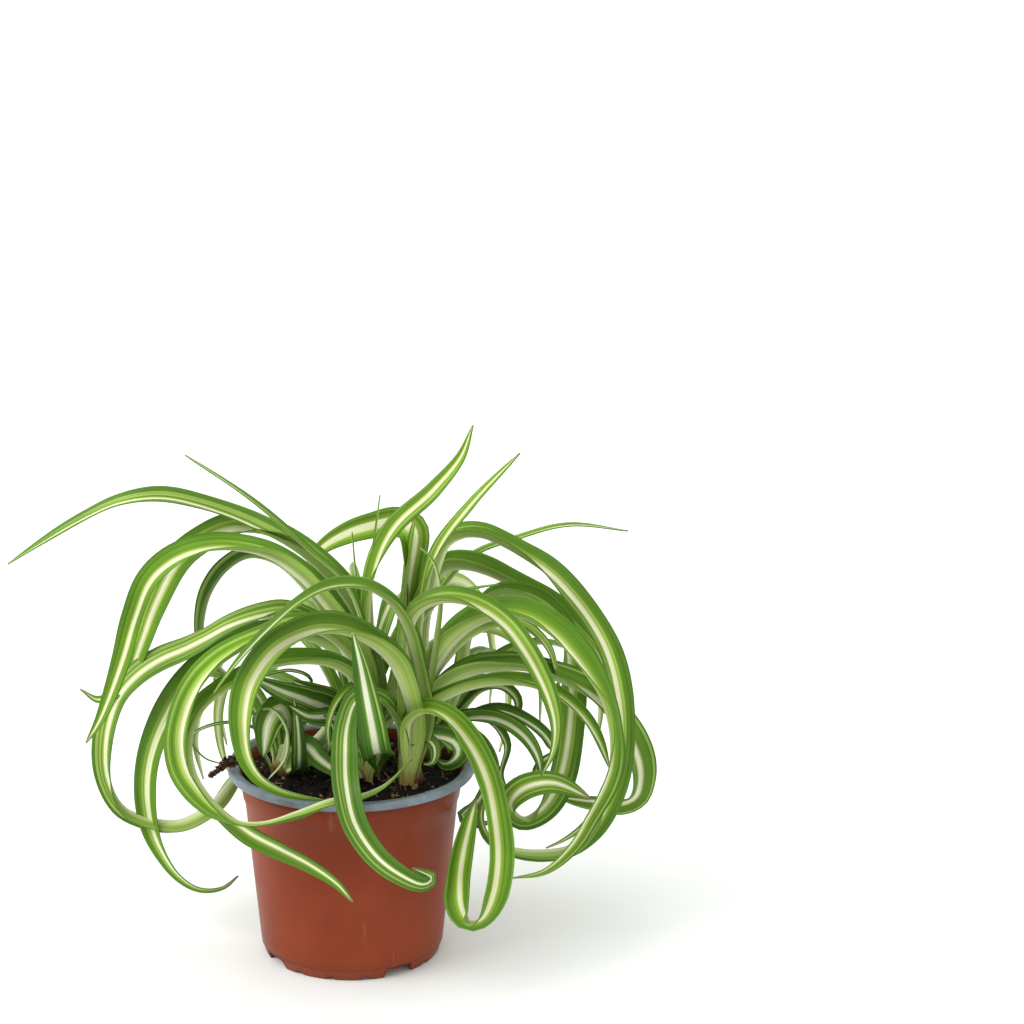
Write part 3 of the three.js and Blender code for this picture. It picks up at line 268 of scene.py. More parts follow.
# %% Leaves of the back rosette
BACK_LEAVES = [
    leaf("wide back left", (2, 32), width=21, youth=0.4, stripe=1.5, seen=[
        (396, 690, 38, 0, 60), (402, 630, 42, 0, 45), (408, 575, 48, -30, 25), (412, 530, 52, -70, 12),
        (398, 521, 54, -90, 12), (372, 525, 54, -88, 14), (345, 534, 54, -75, 16), (320, 550, 52, -60, 20),
        (303, 576, 50, -50, 20),
    ]),
    leaf("broad up", (4, 29), width=13, youth=0.5, taper=12, stripe=1.2, seen=[
        (397, 690, 34, 0, 60), (405, 620, 38, 0, 40), (411, 560, 42, 5, 25), (415, 519, 44, 10, 20),
    ]),
    leaf("right high", (6, 32), width=17, youth=0.35, taper=8, seen=[
        (420, 690, 36, 0, 60), (430, 620, 36, -3, 60), (440, 570, 36, -3, 58), (450, 546, 36, 0, 56),
        (464, 538, 36, 5, 55), (482, 538, 36, 12, 55), (500, 545, 35, 15, 52), (520, 556, 34, 18, 48),
        (545, 572, 33, 28, 40), (568, 594, 31, 38, 34), (590, 622, 30, 42, 32), (606, 652, 29, 45, 32),
        (616, 688, 27, 45, 32), (620, 722, 24, 45, 32), (618, 760, 16, 45, 32), (608, 798, 6, 45, 35),
        (592, 828, -3, 40, 45), (570, 845, -9, 30, 56), (545, 850, -14, 28, 60), (515, 848, -17, 28, 60),
        (492, 838, -19, 40, 42), (482, 818, -20, 50, 32), (486, 797, -21, 50, 28),
    ]),
    leaf("right high far", (5, 36), width=23, youth=0.5, taper=2, seen=[
        (416, 690, 44, 0, 60), (425, 622, 48, -3, 60), (436, 587, 51, 0, 60), (448, 572, 53, 6, 60),
        (466, 570, 55, 10, 60), (486, 575, 56, 12, 58), (506, 584, 56, 14, 56), (526, 594, 55, 18, 52),
        (548, 607, 57, 24, 46), (572, 628, 58, 32, 38), (596, 656, 58, 40, 32), (612, 692, 56, 44, 30),
        (618, 727, 50, 46, 30), (614, 765, 42, 48, 30), (600, 800, 34, 50, 28), (582, 825, 26, 50, 26),
        (562, 840, 22, 50, 25), (546, 848, 20, 50, 25),
    ]),
    leaf("far thin right", (3, 38), width=8, youth=0.35, seen=[
        (410, 690, 50, 0, 60), (432, 612, 60, 0, 50), (470, 560, 70, 8, 40), (522, 538, 80, 14, 36),
        (570, 526, 88, 14, 34), (628, 531, 96, 14, 30),
    ]),
]

# %% Leaves of the young rosette
YOUNG_LEAVES = [
    leaf("dark blade", (-33, 4), width=18, youth=0, taper=3, seen=[
        (322, 735, 0, 0, 50), (332, 714, -4, -40, 30), (308, 701, -12, -75, 18), (280, 690, -20, -85, 16),
        (252, 677, -26, -85, 16),
    ]),
    leaf("dark blade b", (-32, 6), width=15, youth=0.15, stripe=1.2, seen=[
        (322, 728, 10, 0, 50), (334, 704, 8, -10, 30), (316, 693, 2, -50, 20), (290, 680, -2, -60, 20),
    ]),
    leaf("dark blade c", (-32, 3), width=14, youth=0.05, taper=3, stripe=1.3, seen=[
        (322, 745, -2, 0, 50), (340, 724, -6, -30, 30), (330, 717, -14, -70, 18), (308, 716, -20, -85, 16),
        (290, 706, -24, -85, 16),
    ]),
    leaf("thin arch", (-34, 10), width=4, youth=0.3, seen=[
        (300, 710, 16, 0, 50), (310, 680, 18, -10, 40), (290, 671, 16, -20, 35), (262, 676, 12, -30, 30),
    ]),
    leaf("thin ring", (-38, 0), width=4, youth=0.1, seen=[
        (262, 745, -6, 0, 50), (256, 715, -14, -10, 35), (272, 710, -20, -20, 30), (286, 730, -24, -25, 30),
        (285, 758, -26, -30, 30), (268, 780, -28, -30, 30),
    ]),
    leaf("broad low", (-36, 2), width=17, youth=0.15, taper=5, stripe=1.5, seen=[
        (283, 752, -2, 0, 50), (287, 722, -6, -30, 30), (279, 708, -12, -80, 18), (268, 722, -18, -100, 14),
        (263, 757, -22, -110, 14),
    ]),
    leaf("spear", (-32, -1), width=8.5, youth=0, seen=[
        (297, 768, -12, -60, 30), (299, 758, -20, -90, 16), (298, 728, -22, -92, 16),
        (294, 698, -20, -92, 16),
    ]),
    leaf("low front", (-28, 1), width=12, youth=0.1, taper=4, stripe=1.4, seen=[
        (302, 748, -6, 0, 50), (308, 747, -13, 40, 28), (318, 757, -20, 80, 18), (332, 768, -25, 85, 16),
        (348, 778, -30, 80, 16),
    ]),
    leaf("low ring", (-28, 3), width=7, youth=0.1, stripe=1.3, seen=[
        (304, 742, -4, 0, 50), (304, 728, -8, -20, 35), (314, 717, -12, -20, 30), (328, 720, -16, -20, 28),
        (334, 735, -19, -20, 28), (328, 750, -22, -20, 28),
    ]),
    leaf("left thin a", (-38, 4), width=3, youth=0.1, seen=[
        (268, 740, 2, 0, 50), (240, 724, 2, -5, 40), (205, 728, 2, -10, 30), (192, 738, 2, -15, 30),
        (204, 757, 2, -20, 30), (222, 764, 2, -20, 30),
    ]),
]

# %% Leaves of the right rosette
RIGHT_LEAVES = [
    leaf("curl right back", (40, 22), width=17, youth=0.3, taper=12, seen=[
        (462, 690, 26, 0, 60), (476, 625, 32, -8, 55), (500, 598, 36, 0, 48), (534, 602, 40, 10, 42),
        (560, 626, 42, 28, 34), (569, 668, 41, 45, 28), (569, 720, 34, 60, 24), (560, 775, 18, 66, 22),
        (543, 806, 6, 62, 26), (523, 817, -2, 50, 34), (512, 804, -7, 40, 34), (524, 789, -11, 58, 28),
        (552, 783, -13, 60, 24), (591, 799, -14, 45, 25),
    ]),
    leaf("low right arch", (42, 16), width=13.2, youth=0.15, stripe=1.3, seen=[
        (452, 728, 15, 0, 55), (470, 720, 13, 10, 36), (498, 721, 8, 24, 24), (523, 736, 2, 40, 22),
        (537, 757, -2, 50, 22), (541, 779, -4, 50, 25),
    ]),
    leaf("small right curl", (43, 23), width=10, youth=0.1, taper=5, seen=[
        (468, 722, 24, 0, 55), (498, 712, 22, 10, 40), (526, 722, 18, 20, 28), (546, 738, 14, 30, 22),
        (552, 752, 10, 45, 20), (541, 762, 6, 60, 18), (536, 776, 3, 70, 18), (545, 792, 0, 60, 20),
    ]),
    leaf("loop right", (38, 26), width=12, youth=0.2, seen=[
        (462, 714, 32, 0, 55), (482, 692, 36, 10, 40), (502, 688, 38, 25, 30), (516, 700, 36, 35, 25),
        (514, 716, 33, 45, 25), (500, 722, 30, 50, 25),
    ]),
    leaf("loop low right", (43, 19), width=9, youth=0.1, seen=[
        (462, 724, 20, 0, 55), (487, 722, 16, 10, 40), (505, 744, 10, 30, 30), (500, 775, 4, 40, 30),
        (508, 792, 0, 40, 30),
    ]),
    leaf("drop right", (42, 14), width=12, youth=0.1, seen=[
        (455, 735, 12, 0, 50), (476, 742, 7, 20, 35), (489, 770, 2, 40, 30), (478, 800, -6, 60, 25),
        (462, 815, -12, 60, 22), (474, 824, -15, 60, 22), (492, 822, -15, 60, 22),
    ]),
]
print(sum(map(len, (MAIN_LEAVES, LEFT_LEAVES, BACK_LEAVES, YOUNG_LEAVES, RIGHT_LEAVES))), "leaves listed")

# %% [markdown]
# ## Small tools for materials
#
# Every finish is a Principled shader with a few procedural nodes before it. These helpers add
# a node, fill in its inputs and hand back the socket that matters, so that a finish reads as a
# short recipe. A socket knows its node tree as its id_data, so most of them need no tree.

# %% Node helpers
def tint(code):
    """A web colour such as "#a14b30" as the linear colour that shaders use."""
    parts = [int(code[i : i + 2], 16) / 255 for i in (1, 3, 5)]
    return [c / 12.92 if c <= 0.04045 else ((c + 0.055) / 1.055) ** 2.4 for c in parts] + [1]


def new_finish(name):
    """A material with an empty Principled shader, and its node tree and shader."""
    material = bpy.data.materials.new(name)
    material.use_nodes = True
    return material, material.node_tree, material.node_tree.nodes["Principled BSDF"]


def fill(node, inputs):
    """Links a node's inputs, by name or number, to sockets, or sets them to plain values."""
    for name, value in inputs.items():
        if isinstance(value, bpy.types.NodeSocket):
            node.id_data.links.new(value, node.inputs[name])
        else:
            node.inputs[name].default_value = value


def add(tree, kind, inputs=None, **settings):
    """Adds a shader node, sets its settings, and links or fills the inputs."""
    made = tree.nodes.new("ShaderNode" + kind)
    for name, value in settings.items():
        setattr(made, name, value)
    fill(made, inputs or {})
    return made


def object_place(tree):
    return add(tree, "TexCoord").outputs["Object"]


def parts_of(vector):
    """The x, y and z of a vector."""
    return add(vector.id_data, "SeparateXYZ", {0: vector}).outputs


def maths(operation, first, second=0.0, clamp=False):
    inputs = {0: first, 1: second}
    return add(first.id_data, "Math", inputs, operation=operation, use_clamp=clamp).outputs[0]


def times(product, *factors):
    for factor in factors:
        product = maths("MULTIPLY", product, factor)
    return product


def sway(grain, reach):
    """Noise, which runs from 0 to 1, made to swing about 0 instead."""
    return times(maths("SUBTRACT", grain, 0.5), reach)


def remap(value, low, high, to_low=0.0, to_high=1.0):
    """A smooth step: to_low at low and before it, to_high at high and past it."""
    inputs = {"Value": value, "From Min": low, "From Max": high, "To Min": to_low, "To Max": to_high}
    return add(value.id_data, "MapRange", inputs, interpolation_type="SMOOTHSTEP").outputs["Result"]


def stretch(grain, to_low, to_high):
    """Noise mostly lies between 0.3 and 0.7, and this spreads it over more."""
    return remap(grain, 0.3, 0.7, to_low, to_high)


def blend(amount, first, second, kind="MIX"):
    """Mixes two colours. The Mix node has its factor at input 0 and its colours at 6 and 7."""
    made = add(first.id_data, "Mix", data_type="RGBA", blend_type=kind)
    fill(made, {0: amount, 6: first, 7: second})
    return made.outputs[2]


def ramp(value, stops):
    """A colour ramp with a stop for every (place, web colour)."""
    made = add(value.id_data, "ValToRGB", {"Fac": value})
    elements = made.color_ramp.elements
    while len(elements) < len(stops):
        elements.new(1)
    for element, (place, code) in zip(elements, stops):
        element.position = place
        element.color = tint(code)
    return made.outputs["Color"]


def noise_of(vector, scale, detail=2.0, roughness=0.5):
    inputs = {"Vector": vector, "Scale": scale, "Detail": detail, "Roughness": roughness}
    return add(vector.id_data, "TexNoise", inputs).outputs["Fac"]


def bump(height, distance, strength):
    """A normal that is pushed about by a height, over a distance in metres."""
    inputs = {"Height": height, "Distance": distance, "Strength": strength}
    return add(height.id_data, "Bump", inputs).outputs["Normal"]


# %% [markdown]
# ## What the leaves look like
#
# A leaf of this plant has a cream stripe down the middle, yellow-green beside it, and green
# margins; fine veins run along it. Old leaves are dark with a narrow stripe, young ones bright
# with a wide one. One finish does all of them: the colour is looked up by the distance from the
# middle, and each leaf carries its youth, its seed and its stripe's width as attributes, which
# shift the lookup. The underside is the same recipe with pale colours: paler than the top, as a
# real underside is, and lightened further by painted light that stands in for the light shining
# through the blades and bouncing up under them. The colour is also darkened along the lines
# between the veins as painted shade in the grooves, and patched lighter and darker as painted
# light and shade on the blade's ripples.

# %% Leaf finishes
TOP_OLD = [
    (0.0, "#e4e6d2"), (0.15, "#d8ddba"), (0.20, "#a2b67a"), (0.25, "#5c8234"), (0.45, "#487121"),
    (0.80, "#3c611e"), (0.97, "#436926"),
]
TOP_GROWN = [
    (0.0, "#ebe9d0"), (0.14, "#e2e5b6"), (0.22, "#bccd72"), (0.31, "#84a736"), (0.52, "#6c9724"),
    (0.82, "#5c8722"), (0.97, "#638e2b"),
]
TOP_YOUNG = [
    (0.0, "#ecebc8"), (0.14, "#e3e6a6"), (0.26, "#c6d666"), (0.42, "#a2c140"), (0.62, "#83ab2e"),
    (0.85, "#6c9826"), (0.97, "#739f2f"),
]
# Underside colours: paler than the top, as a real underside is, and lightened further by painted light that
# stands in for the light shining through and under the blades.
UNDER_OLD = [
    (0.0, "#e1e7c6"), (0.22, "#d0dbaa"), (0.32, "#aac27a"), (0.60, "#89a857"), (0.90, "#789948"),
    (0.98, "#82a152"),
]
UNDER_YOUNG = [
    (0.0, "#ebeec4"), (0.25, "#e1e9a8"), (0.40, "#cfde86"), (0.65, "#b6cd64"), (0.92, "#a1be4f"),
    (0.98, "#aac459"),
]
BASE_TINT = tint("#c3d67e")
TIP_TINT = tint("#8d8a5a")
VEIN_TINT = tint("#b4c96a")
EARTH_TINT = tint("#b08a52")


LEAF_NUMBERS = ("youth", "seed", "share", "stripe")  # the attributes; share is 0 at the base, 1 at the tip
SEED_REACH = 37  # how far apart the leaves' patterns lie in the noise
STRAY = 0.10  # how far the stripe wanders, of the leaf's width
FRAY = 0.16  # how far the veins fray the stripe's sides
VEIN_STRETCH = 0.035  # a vein's pattern along the leaf, against across it
SOIL_LINE = (0.100, 0.091)  # m: leaves turn brown between these heights


def leaf_finish(name, ramps, pale_base, roughness):
    """ramps goes from the oldest leaf's colours to the youngest's, from the middle outwards."""
    material, tree, shader = new_finish(name)
    across, along, _ = parts_of(add(tree, "UVMap", uv_map="ribbon").outputs[0])
    numbers = [add(tree, "Attribute", attribute_name=number).outputs["Fac"] for number in LEAF_NUMBERS]
    youth, seed, share, stripe = numbers

    shift = times(seed, SEED_REACH)
    lane = add(tree, "CombineXYZ", {"X": shift, "Y": times(along, 0.9)}).outputs[0]
    strayed = maths("ADD", across, sway(noise_of(lane, 1), STRAY))
    outwards = times(maths("ABSOLUTE", maths("SUBTRACT", strayed, 0.5)), 2)

    lengthwise = times(along, VEIN_STRETCH)
    veins = add(tree, "CombineXYZ", {"X": across, "Y": lengthwise, "Z": shift}).outputs[0]
    fine = noise_of(veins, 34, 1)
    medium = noise_of(veins, 15, 0)
    broad = noise_of(veins, 9, 0.5)
    streaked = maths("ADD", maths("DIVIDE", outwards, stripe), sway(fine, FRAY))

    colour = ramp(streaked, ramps[0])
    steps = len(ramps) - 1
    for i in range(steps):
        amount = remap(youth, i / steps, (i + 1) / steps)
        colour = blend(amount, colour, ramp(streaked, ramps[i + 1]))

    off_middle = remap(outwards, 0.26, 0.34)
    off_edge = remap(outwards, 0.96, 0.86)
    pale_lines = times(remap(broad, 0.585, 0.635), off_middle, off_edge, 0.55)
    colour = blend(pale_lines, colour, VEIN_TINT)
    paling = times(remap(share, pale_base, 0.01), remap(youth, 0.05, 0.35, 0.35, 0.9))
    colour = blend(paling, colour, BASE_TINT)
    colour = blend(remap(share, 0.975, 0.998, 0, 0.8), colour, TIP_TINT)
    place = object_place(tree)
    near_soil = remap(parts_of(place)[2], *SOIL_LINE, 0, 0.75)
    colour = blend(times(near_soil, remap(share, 0.12, 0.06)), colour, EARTH_TINT)

    # Brightness that multiplies the colour. The fine and medium lines are the veins' own streaks. The clouds
    # are painted light and shade for the blade's ripples, and the groove term is painted shade that darkens
    # the lines between the veins.
    clouds = stretch(noise_of(place, 24), 0.85, 1.12)
    fine_lines = stretch(fine, 0.78, 1.04)
    medium_lines = stretch(medium, 0.78, 0.97)
    painted_groove_shade = remap(times(remap(broad, 0.44, 0.38), off_middle), 0, 1, 1, 0.78)
    light = times(fine_lines, medium_lines, clouds, painted_groove_shade)
    grey = add(tree, "CombineColor", {0: light, 1: light, 2: light}).outputs[0]
    fill(shader, {
        "Base Color": blend(1, colour, grey, "MULTIPLY"),
        "Roughness": remap(fine, 0.2, 0.8, roughness - 0.05, roughness + 0.07),
        "Normal": bump(fine, 0.00012, 0.7),
        "Specular IOR Level": 0.12,
        "Subsurface Weight": 0.22,
        "Subsurface Radius": (0.7, 1, 0.25),
        "Subsurface Scale": 0.0012,
    })
    return material


leaf_top = leaf_finish("leaf_top", [TOP_OLD, TOP_GROWN, TOP_YOUNG], 0.16, 0.42)
leaf_under = leaf_finish("leaf_underside", [UNDER_OLD, UNDER_YOUNG], 0.20, 0.52)
print("leaf finishes:", leaf_top.name, leaf_under.name)

# %% [markdown]
# ## How a leaf runs
#
# A leaf is a ribbon on a smooth curve through its places. The curve is the centripetal
# Catmull-Rom kind, which passes each place without a loop or a cusp. A guide gives the level
# direction that the ribbon's width follows at roll 0: straight away from the eye for a leaf
# that the picture shows, so that its roll says plainly how much of each face is seen.

# %% Ribbon curves
LEAF_START_HEIGHT = 92  # mm above the ground, just above the soil
ROW_LENGTH = 2.4  # mm from one row of faces to the next
FEWEST_ROWS = 16
FINE_STEPS = 26  # on each stretch between two places


def smooth_curve(places):
    """Close points on a centripetal Catmull-Rom curve through the places."""
    spare = [2 * places[0] - places[1], *places, 2 * places[-1] - places[-2]]
    points = []
    for i in range(len(places) - 1):
        a, b, c, d = spare[i : i + 4]
        before, here, after = (math.sqrt((q - p).length) for p, q in ((a, b), (b, c), (c, d)))
        leaving = ((b - a) / before - (c - a) / (before + here) + (c - b) / here) * here
        reaching = ((c - b) / here - (d - b) / (here + after) + (d - c) / after) * here
        for k in range(FINE_STEPS):
            s = k / FINE_STEPS
            points.append(
                b * (2 * s**3 - 3 * s**2 + 1) + c * (3 * s**2 - 2 * s**3)
                + leaving * (s**3 - 2 * s**2 + s) + reaching * (s**3 - s**2)
            )
    return points + [places[-1]]


def running_lengths(points):
    marks = [0.0]
    for p, q in zip(points, points[1:]):
        marks.append(marks[-1] + (q - p).length)
    return marks


def even_points(points, marks, count):
    """count + 1 points at even distances along the close points."""
    spaced = []
    i = 0
    for k in range(count + 1):
        want = marks[-1] * k / count
        while i < len(marks) - 2 and marks[i + 1] < want:
            i += 1
        spaced.append(points[i].lerp(points[i + 1], (want - marks[i]) / (marks[i + 1] - marks[i])))
    return spaced


def lookup(shares, values, share):
    """The value at share, where values[i] belongs to shares[i]."""
    for i in range(len(shares) - 2):
        if share < shares[i + 1]:
            break
    else:
        i = len(shares) - 2
    part = (share - shares[i]) / (shares[i + 1] - shares[i])
    return values[i] + (values[i + 1] - values[i]) * part


def guide_away(places):
    """Level and straight away from the eye, or towards it where the leaf's top runs rightwards."""
    top = max(range(1, len(places)), key=lambda i: places[i].z)
    run = places[min(top + 1, len(places) - 1)].x - places[top - 1].x
    sign = 1 if run < 0 else -1
    return lambda centre: Vector((centre.x - eye.x, centre.y - eye.y, 0)) * sign


def ribbon_frames(places, bends, guide):
    """(centre, sideways, facing, fold) at even steps along a leaf, and its length."""
    points = smooth_curve(places)
    marks = running_lengths(points)
    shares = [marks[i * FINE_STEPS] / marks[-1] for i in range(len(places))]
    centres = even_points(points, marks, max(FEWEST_ROWS, round(marks[-1] / ROW_LENGTH)))
    frames = []
    for i, centre in enumerate(centres):
        ahead = (centres[min(i + 1, len(centres) - 1)] - centres[max(i - 1, 0)]).normalized()
        side = guide(centre)
        side = (side - ahead * side.dot(ahead)).normalized()
        roll, fold = lookup(shares, bends, i / (len(centres) - 1))
        sideways = Matrix.Rotation(math.radians(roll), 3, ahead) @ side
        frames.append((centre, sideways, sideways.cross(ahead), math.radians(fold)))
    return frames, marks[-1]


# %% [markdown]
# ## One ribbon leaf
#
# The blade starts as a flat grid, which is the cheapest surface with rows and columns, and
# each of its points is moved to its place on the leaf. Across, the leaf is folded along its
# rounded keel: tightly where it leaves the rosette, and less and less as it opens. The columns
# crowd together towards the margins, so the edge stays crisp once the Solidify modifier gives
# the blade its thickness.

# %% Leaf blades
COLUMNS = 14
BLADE = 0.6  # mm thick
BASE_FOLD = 60  # degrees that each half of a blade is folded up at the base
TIP_WIDTH = 0.5
BASE_WIDTH = 0.55  # of the full width
OPEN_SHARE = 0.22  # of the length, where a blade has its full width
TIP_BLUNTNESS = 0.75
CROWDING = 0.9  # of the columns, towards the margins
KEEL = 0.06  # how far from the middle the keel is round
RIPPLE = 0.03  # of the width
RIPPLE_LENGTH = 9  # mm
MARGIN_LAG = 2.2  # between the ripples of the two margins
SEED_LAG = 40  # and between those of two leaves
RIBBON_UNIT = 100  # mm of a leaf to one unit of its ribbon coordinate


def leaf_width(width, share, taper):
    """Narrow where it leaves the rosette, full from a fifth of its length, then tapering."""
    opened = min(1, share / OPEN_SHARE)
    narrow = BASE_WIDTH + (1 - BASE_WIDTH) * opened * opened * (3 - 2 * opened)
    return max(TIP_WIDTH, width * narrow * (1 - share**taper) ** TIP_BLUNTNESS)


def add_leaf(bm, blade, seed):
    """Adds one blade to the bmesh, with its ribbon coordinates and attributes."""
    frames, length = ribbon_frames(blade["places"], blade["bends"], blade["guide"])
    rows = len(frames) - 1
    grid = bmesh.ops.create_grid(bm, x_segments=COLUMNS, y_segments=rows, size=0.5)["verts"]
    uv = bm.loops.layers.uv["ribbon"]
    spots = {}
    for vert in grid:
        row = round((vert.co.y + 0.5) * rows)
        share = row / rows
        place = 0.5 * math.sin(vert.co.x * math.pi * CROWDING) / math.sin(CROWDING / 2 * math.pi)
        centre, sideways, facing, fold = frames[row]
        wide = leaf_width(blade["width"], share, blade["taper"])
        phase = length * share / RIPPLE_LENGTH + SEED_LAG * seed + MARGIN_LAG * (place > 0)
        rise = math.sin(fold) * (math.hypot(place, KEEL) - KEEL) + RIPPLE * (2 * place) ** 2 * math.sin(phase)
        outward = sideways * (math.cos(fold) * place * wide)
        vert.co = (centre + outward + facing * (rise * wide + BLADE / 2)) * MM
        for number, value in zip(LEAF_NUMBERS, (blade["youth"], seed, share, blade["stripe"])):
            vert[bm.verts.layers.float[number]] = value
        spots[vert] = (place + 0.5, length * share / RIBBON_UNIT)
    for face in {face for vert in grid for face in vert.link_faces}:
        face.smooth = True
        for loop in face.loops:
            loop[uv].uv = spots[loop.vert]


# %% [markdown]
# ## The rosettes
#
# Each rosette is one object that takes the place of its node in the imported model. Leaves that
# the picture shows are listed; those that nothing holds to one place, round the back, follow a
# rule: lean out, then bend over more and more towards the tip. The arches of one rosette share
# one guide, square to the last of them, which gives the others a twist along their length.

# %% Rosettes
BACK_ARCHES = [  # each is its heading, length, lean, bend and width, in degrees and mm
    (38, 185, 24, 170, 11), (57, 225, 16, 190, 12), (76, 205, 30, 150, 12), (92, 235, 14, 205, 13),
    (108, 200, 28, 165, 11), (125, 200, 26, 185, 12), (144, 150, 40, 165, 10),
]
RIGHT_ARCHES = [(62, 150, 22, 200, 9), (38, 170, 26, 170, 10)]
YOUNG_ARCHES = [(118, 130, 20, 220, 8), (133, 140, 24, 190, 9), (100, 110, 30, 230, 8)]
ROSETTES = [
    dict(name="crown_main", at=(28.5, -10), radius=7.5, leaves=MAIN_LEAVES, arches=[]),
    dict(name="crown_left", at=(6.5, -5), radius=7.5, leaves=LEFT_LEAVES, arches=[]),
    dict(name="crown_back", at=(2, 33), radius=7, leaves=BACK_LEAVES, arches=BACK_ARCHES),
    dict(name="crown_right", at=(39, 20), radius=7, leaves=RIGHT_LEAVES, arches=RIGHT_ARCHES),
    dict(name="crown_young", at=(-33, 4), radius=7, leaves=YOUNG_LEAVES, arches=YOUNG_ARCHES),
]
ARCH_POINTS = 9
ARCH_START = 4  # mm from the middle of its rosette
ARCH_CURL = 1.25  # the higher, the more of the bend comes near the tip
ARCH_FOLD = 25  # at the tip
ARCH_YOUTH = 0.4
SHEATH = Vector((0, 0, 5))  # mm that a blade reaches down into the soil
LEAF_SEED = 11


def arch_places(at, heading, length, lean, bend):
    way = math.radians(heading)
    outward = Vector((math.cos(way), math.sin(way), 0))
    places = [Vector((*at, LEAF_START_HEIGHT)) + outward * ARCH_START]
    for i in range(1, ARCH_POINTS):
        share = (i - 0.5) / (ARCH_POINTS - 1)
        tilt = math.radians(lean + bend * share**ARCH_CURL)
        step = outward * math.sin(tilt) + Vector((0, 0, math.cos(tilt)))
        places.append(places[-1] + step * length / (ARCH_POINTS - 1))
    return places


def leaves_of(rosette):
    """Every leaf of a rosette with its places in mm."""
    leaves = []
    for listed in rosette["leaves"]:
        start = Vector((*listed["start"], LEAF_START_HEIGHT))
        places = [start - SHEATH, start] + [place_seen(*spot[:3]) for spot in listed["seen"]]
        bends = [Vector((0, BASE_FOLD))] * 2 + [Vector(spot[3:]) for spot in listed["seen"]]
        leaves.append(dict(listed, places=places, bends=bends, guide=guide_away(places)))
    folds = [BASE_FOLD + (ARCH_FOLD - BASE_FOLD) * i / (ARCH_POINTS - 1) for i in range(ARCH_POINTS)]
    bends = [Vector((0, fold)) for fold in folds]
    routes = [arch_places(rosette["at"], *arch[:4]) for arch in rosette["arches"]]
    for places, arch in zip(routes, rosette["arches"]):
        across = (routes[-1][-1] - routes[-1][0]).cross(Vector((0, 0, 1)))
        blade = leaf("arch", rosette["at"], arch[4], ARCH_YOUTH, [])
        leaves.append(dict(blade, places=places, bends=bends, guide=lambda centre: across))
    return leaves


def link_piece(name, bm, materials, node=None):
    """Turns a bmesh into a piece that rides on the body and may stand for a node."""
    mesh = bpy.data.meshes.new(name)
    bm.to_mesh(mesh)
    bm.free()
    for material in materials:
        mesh.materials.append(material)
    piece = bpy.data.objects.new(name, mesh)
    bpy.context.scene.collection.objects.link(piece)
    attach(piece, "root")
    if node:
        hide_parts(node)
    print(name, "has", len(mesh.polygons), "faces")
    return piece


def make_rosette(rosette, chance):
    bm = bmesh.new()
    bm.loops.layers.uv.new("ribbon")
    for name in LEAF_NUMBERS:
        bm.verts.layers.float.new(name)
    for blade in leaves_of(rosette):
        add_leaf(bm, blade, chance.random())
    piece = link_piece("leaves_" + rosette["name"], bm, [leaf_top, leaf_under], rosette["name"])
    skin = piece.modifiers.new("blade thickness", "SOLIDIFY")
    skin.thickness = BLADE * MM
    skin.offset = -1
    skin.material_offset = 1
    skin.material_offset_rim = 0


leaf_chance = random.Random(LEAF_SEED)
for rosette in ROSETTES:
    make_rosette(rosette, leaf_chance)

# %% [markdown]
# ## Rootstocks
#
# Under its leaves each rosette stands on a squat stock of old leaf bases. It is pale where it
# is above the soil and orange-brown where it enters it. A spun outline gives the stock, and
# pushing its points in and out by their direction gives the clasping bases.

# %% Rootstock
STOCK_PROFILE = [(0, 84), (0.95, 84), (1.0, 89), (0.88, 92), (0.68, 96), (0.5, 100), (0.3, 103), (0, 104)]
STOCK_SIDES = 48
STOCK_RIBS = 5
RIB_START = 88  # mm, where the ribs begin
RIB_HEIGHT = 18
RIB_DEPTH = 0.10  # of the radius
RIB_TWIST = 2  # radians in their height
STOCK_CORE = 0.92  # of the radius, between the ribs
STOCK_COLOURS = [
    (0.0, "#2c1a0e"), (0.16, "#6c431c"), (0.30, "#94702f"), (0.5, "#9aa460"), (0.8, "#8aa04e"),
    (1.0, "#7f9c40"),
]


def spin_profile(bm, profile, sides):
    """Spins (radius, height) points, in metres, right round the z axis into a closed surface."""
    verts = [bm.verts.new((radius, 0, height)) for radius, height in profile]
    edges = [bm.edges.new(pair) for pair in zip(verts, verts[1:])]
    turned = dict(axis=(0, 0, 1), cent=(0, 0, 0), angle=math.tau, steps=sides, use_merge=True)
    bmesh.ops.spin(bm, geom=verts + edges, **turned)
    bmesh.ops.remove_doubles(bm, verts=bm.verts, dist=1e-6)
    bmesh.ops.recalc_face_normals(bm, faces=bm.faces)
    for face in bm.faces:
        face.smooth = True


def stock_finish():
    material, tree, shader = new_finish("leaf_bases")
    place = object_place(tree)
    long_grain = add(tree, "Mapping", {"Vector": place, "Scale": (1, 1, 0.12)}).outputs[0]
    grain = noise_of(long_grain, 900)
    height = maths("ADD", parts_of(place)[2], sway(grain, 0.006))
    fill(shader, {
        "Base Color": ramp(remap(height, 0.088, 0.106), STOCK_COLOURS),
        "Roughness": 0.5,
        "Normal": bump(grain, 0.0003, 0.8),
    })
    return material


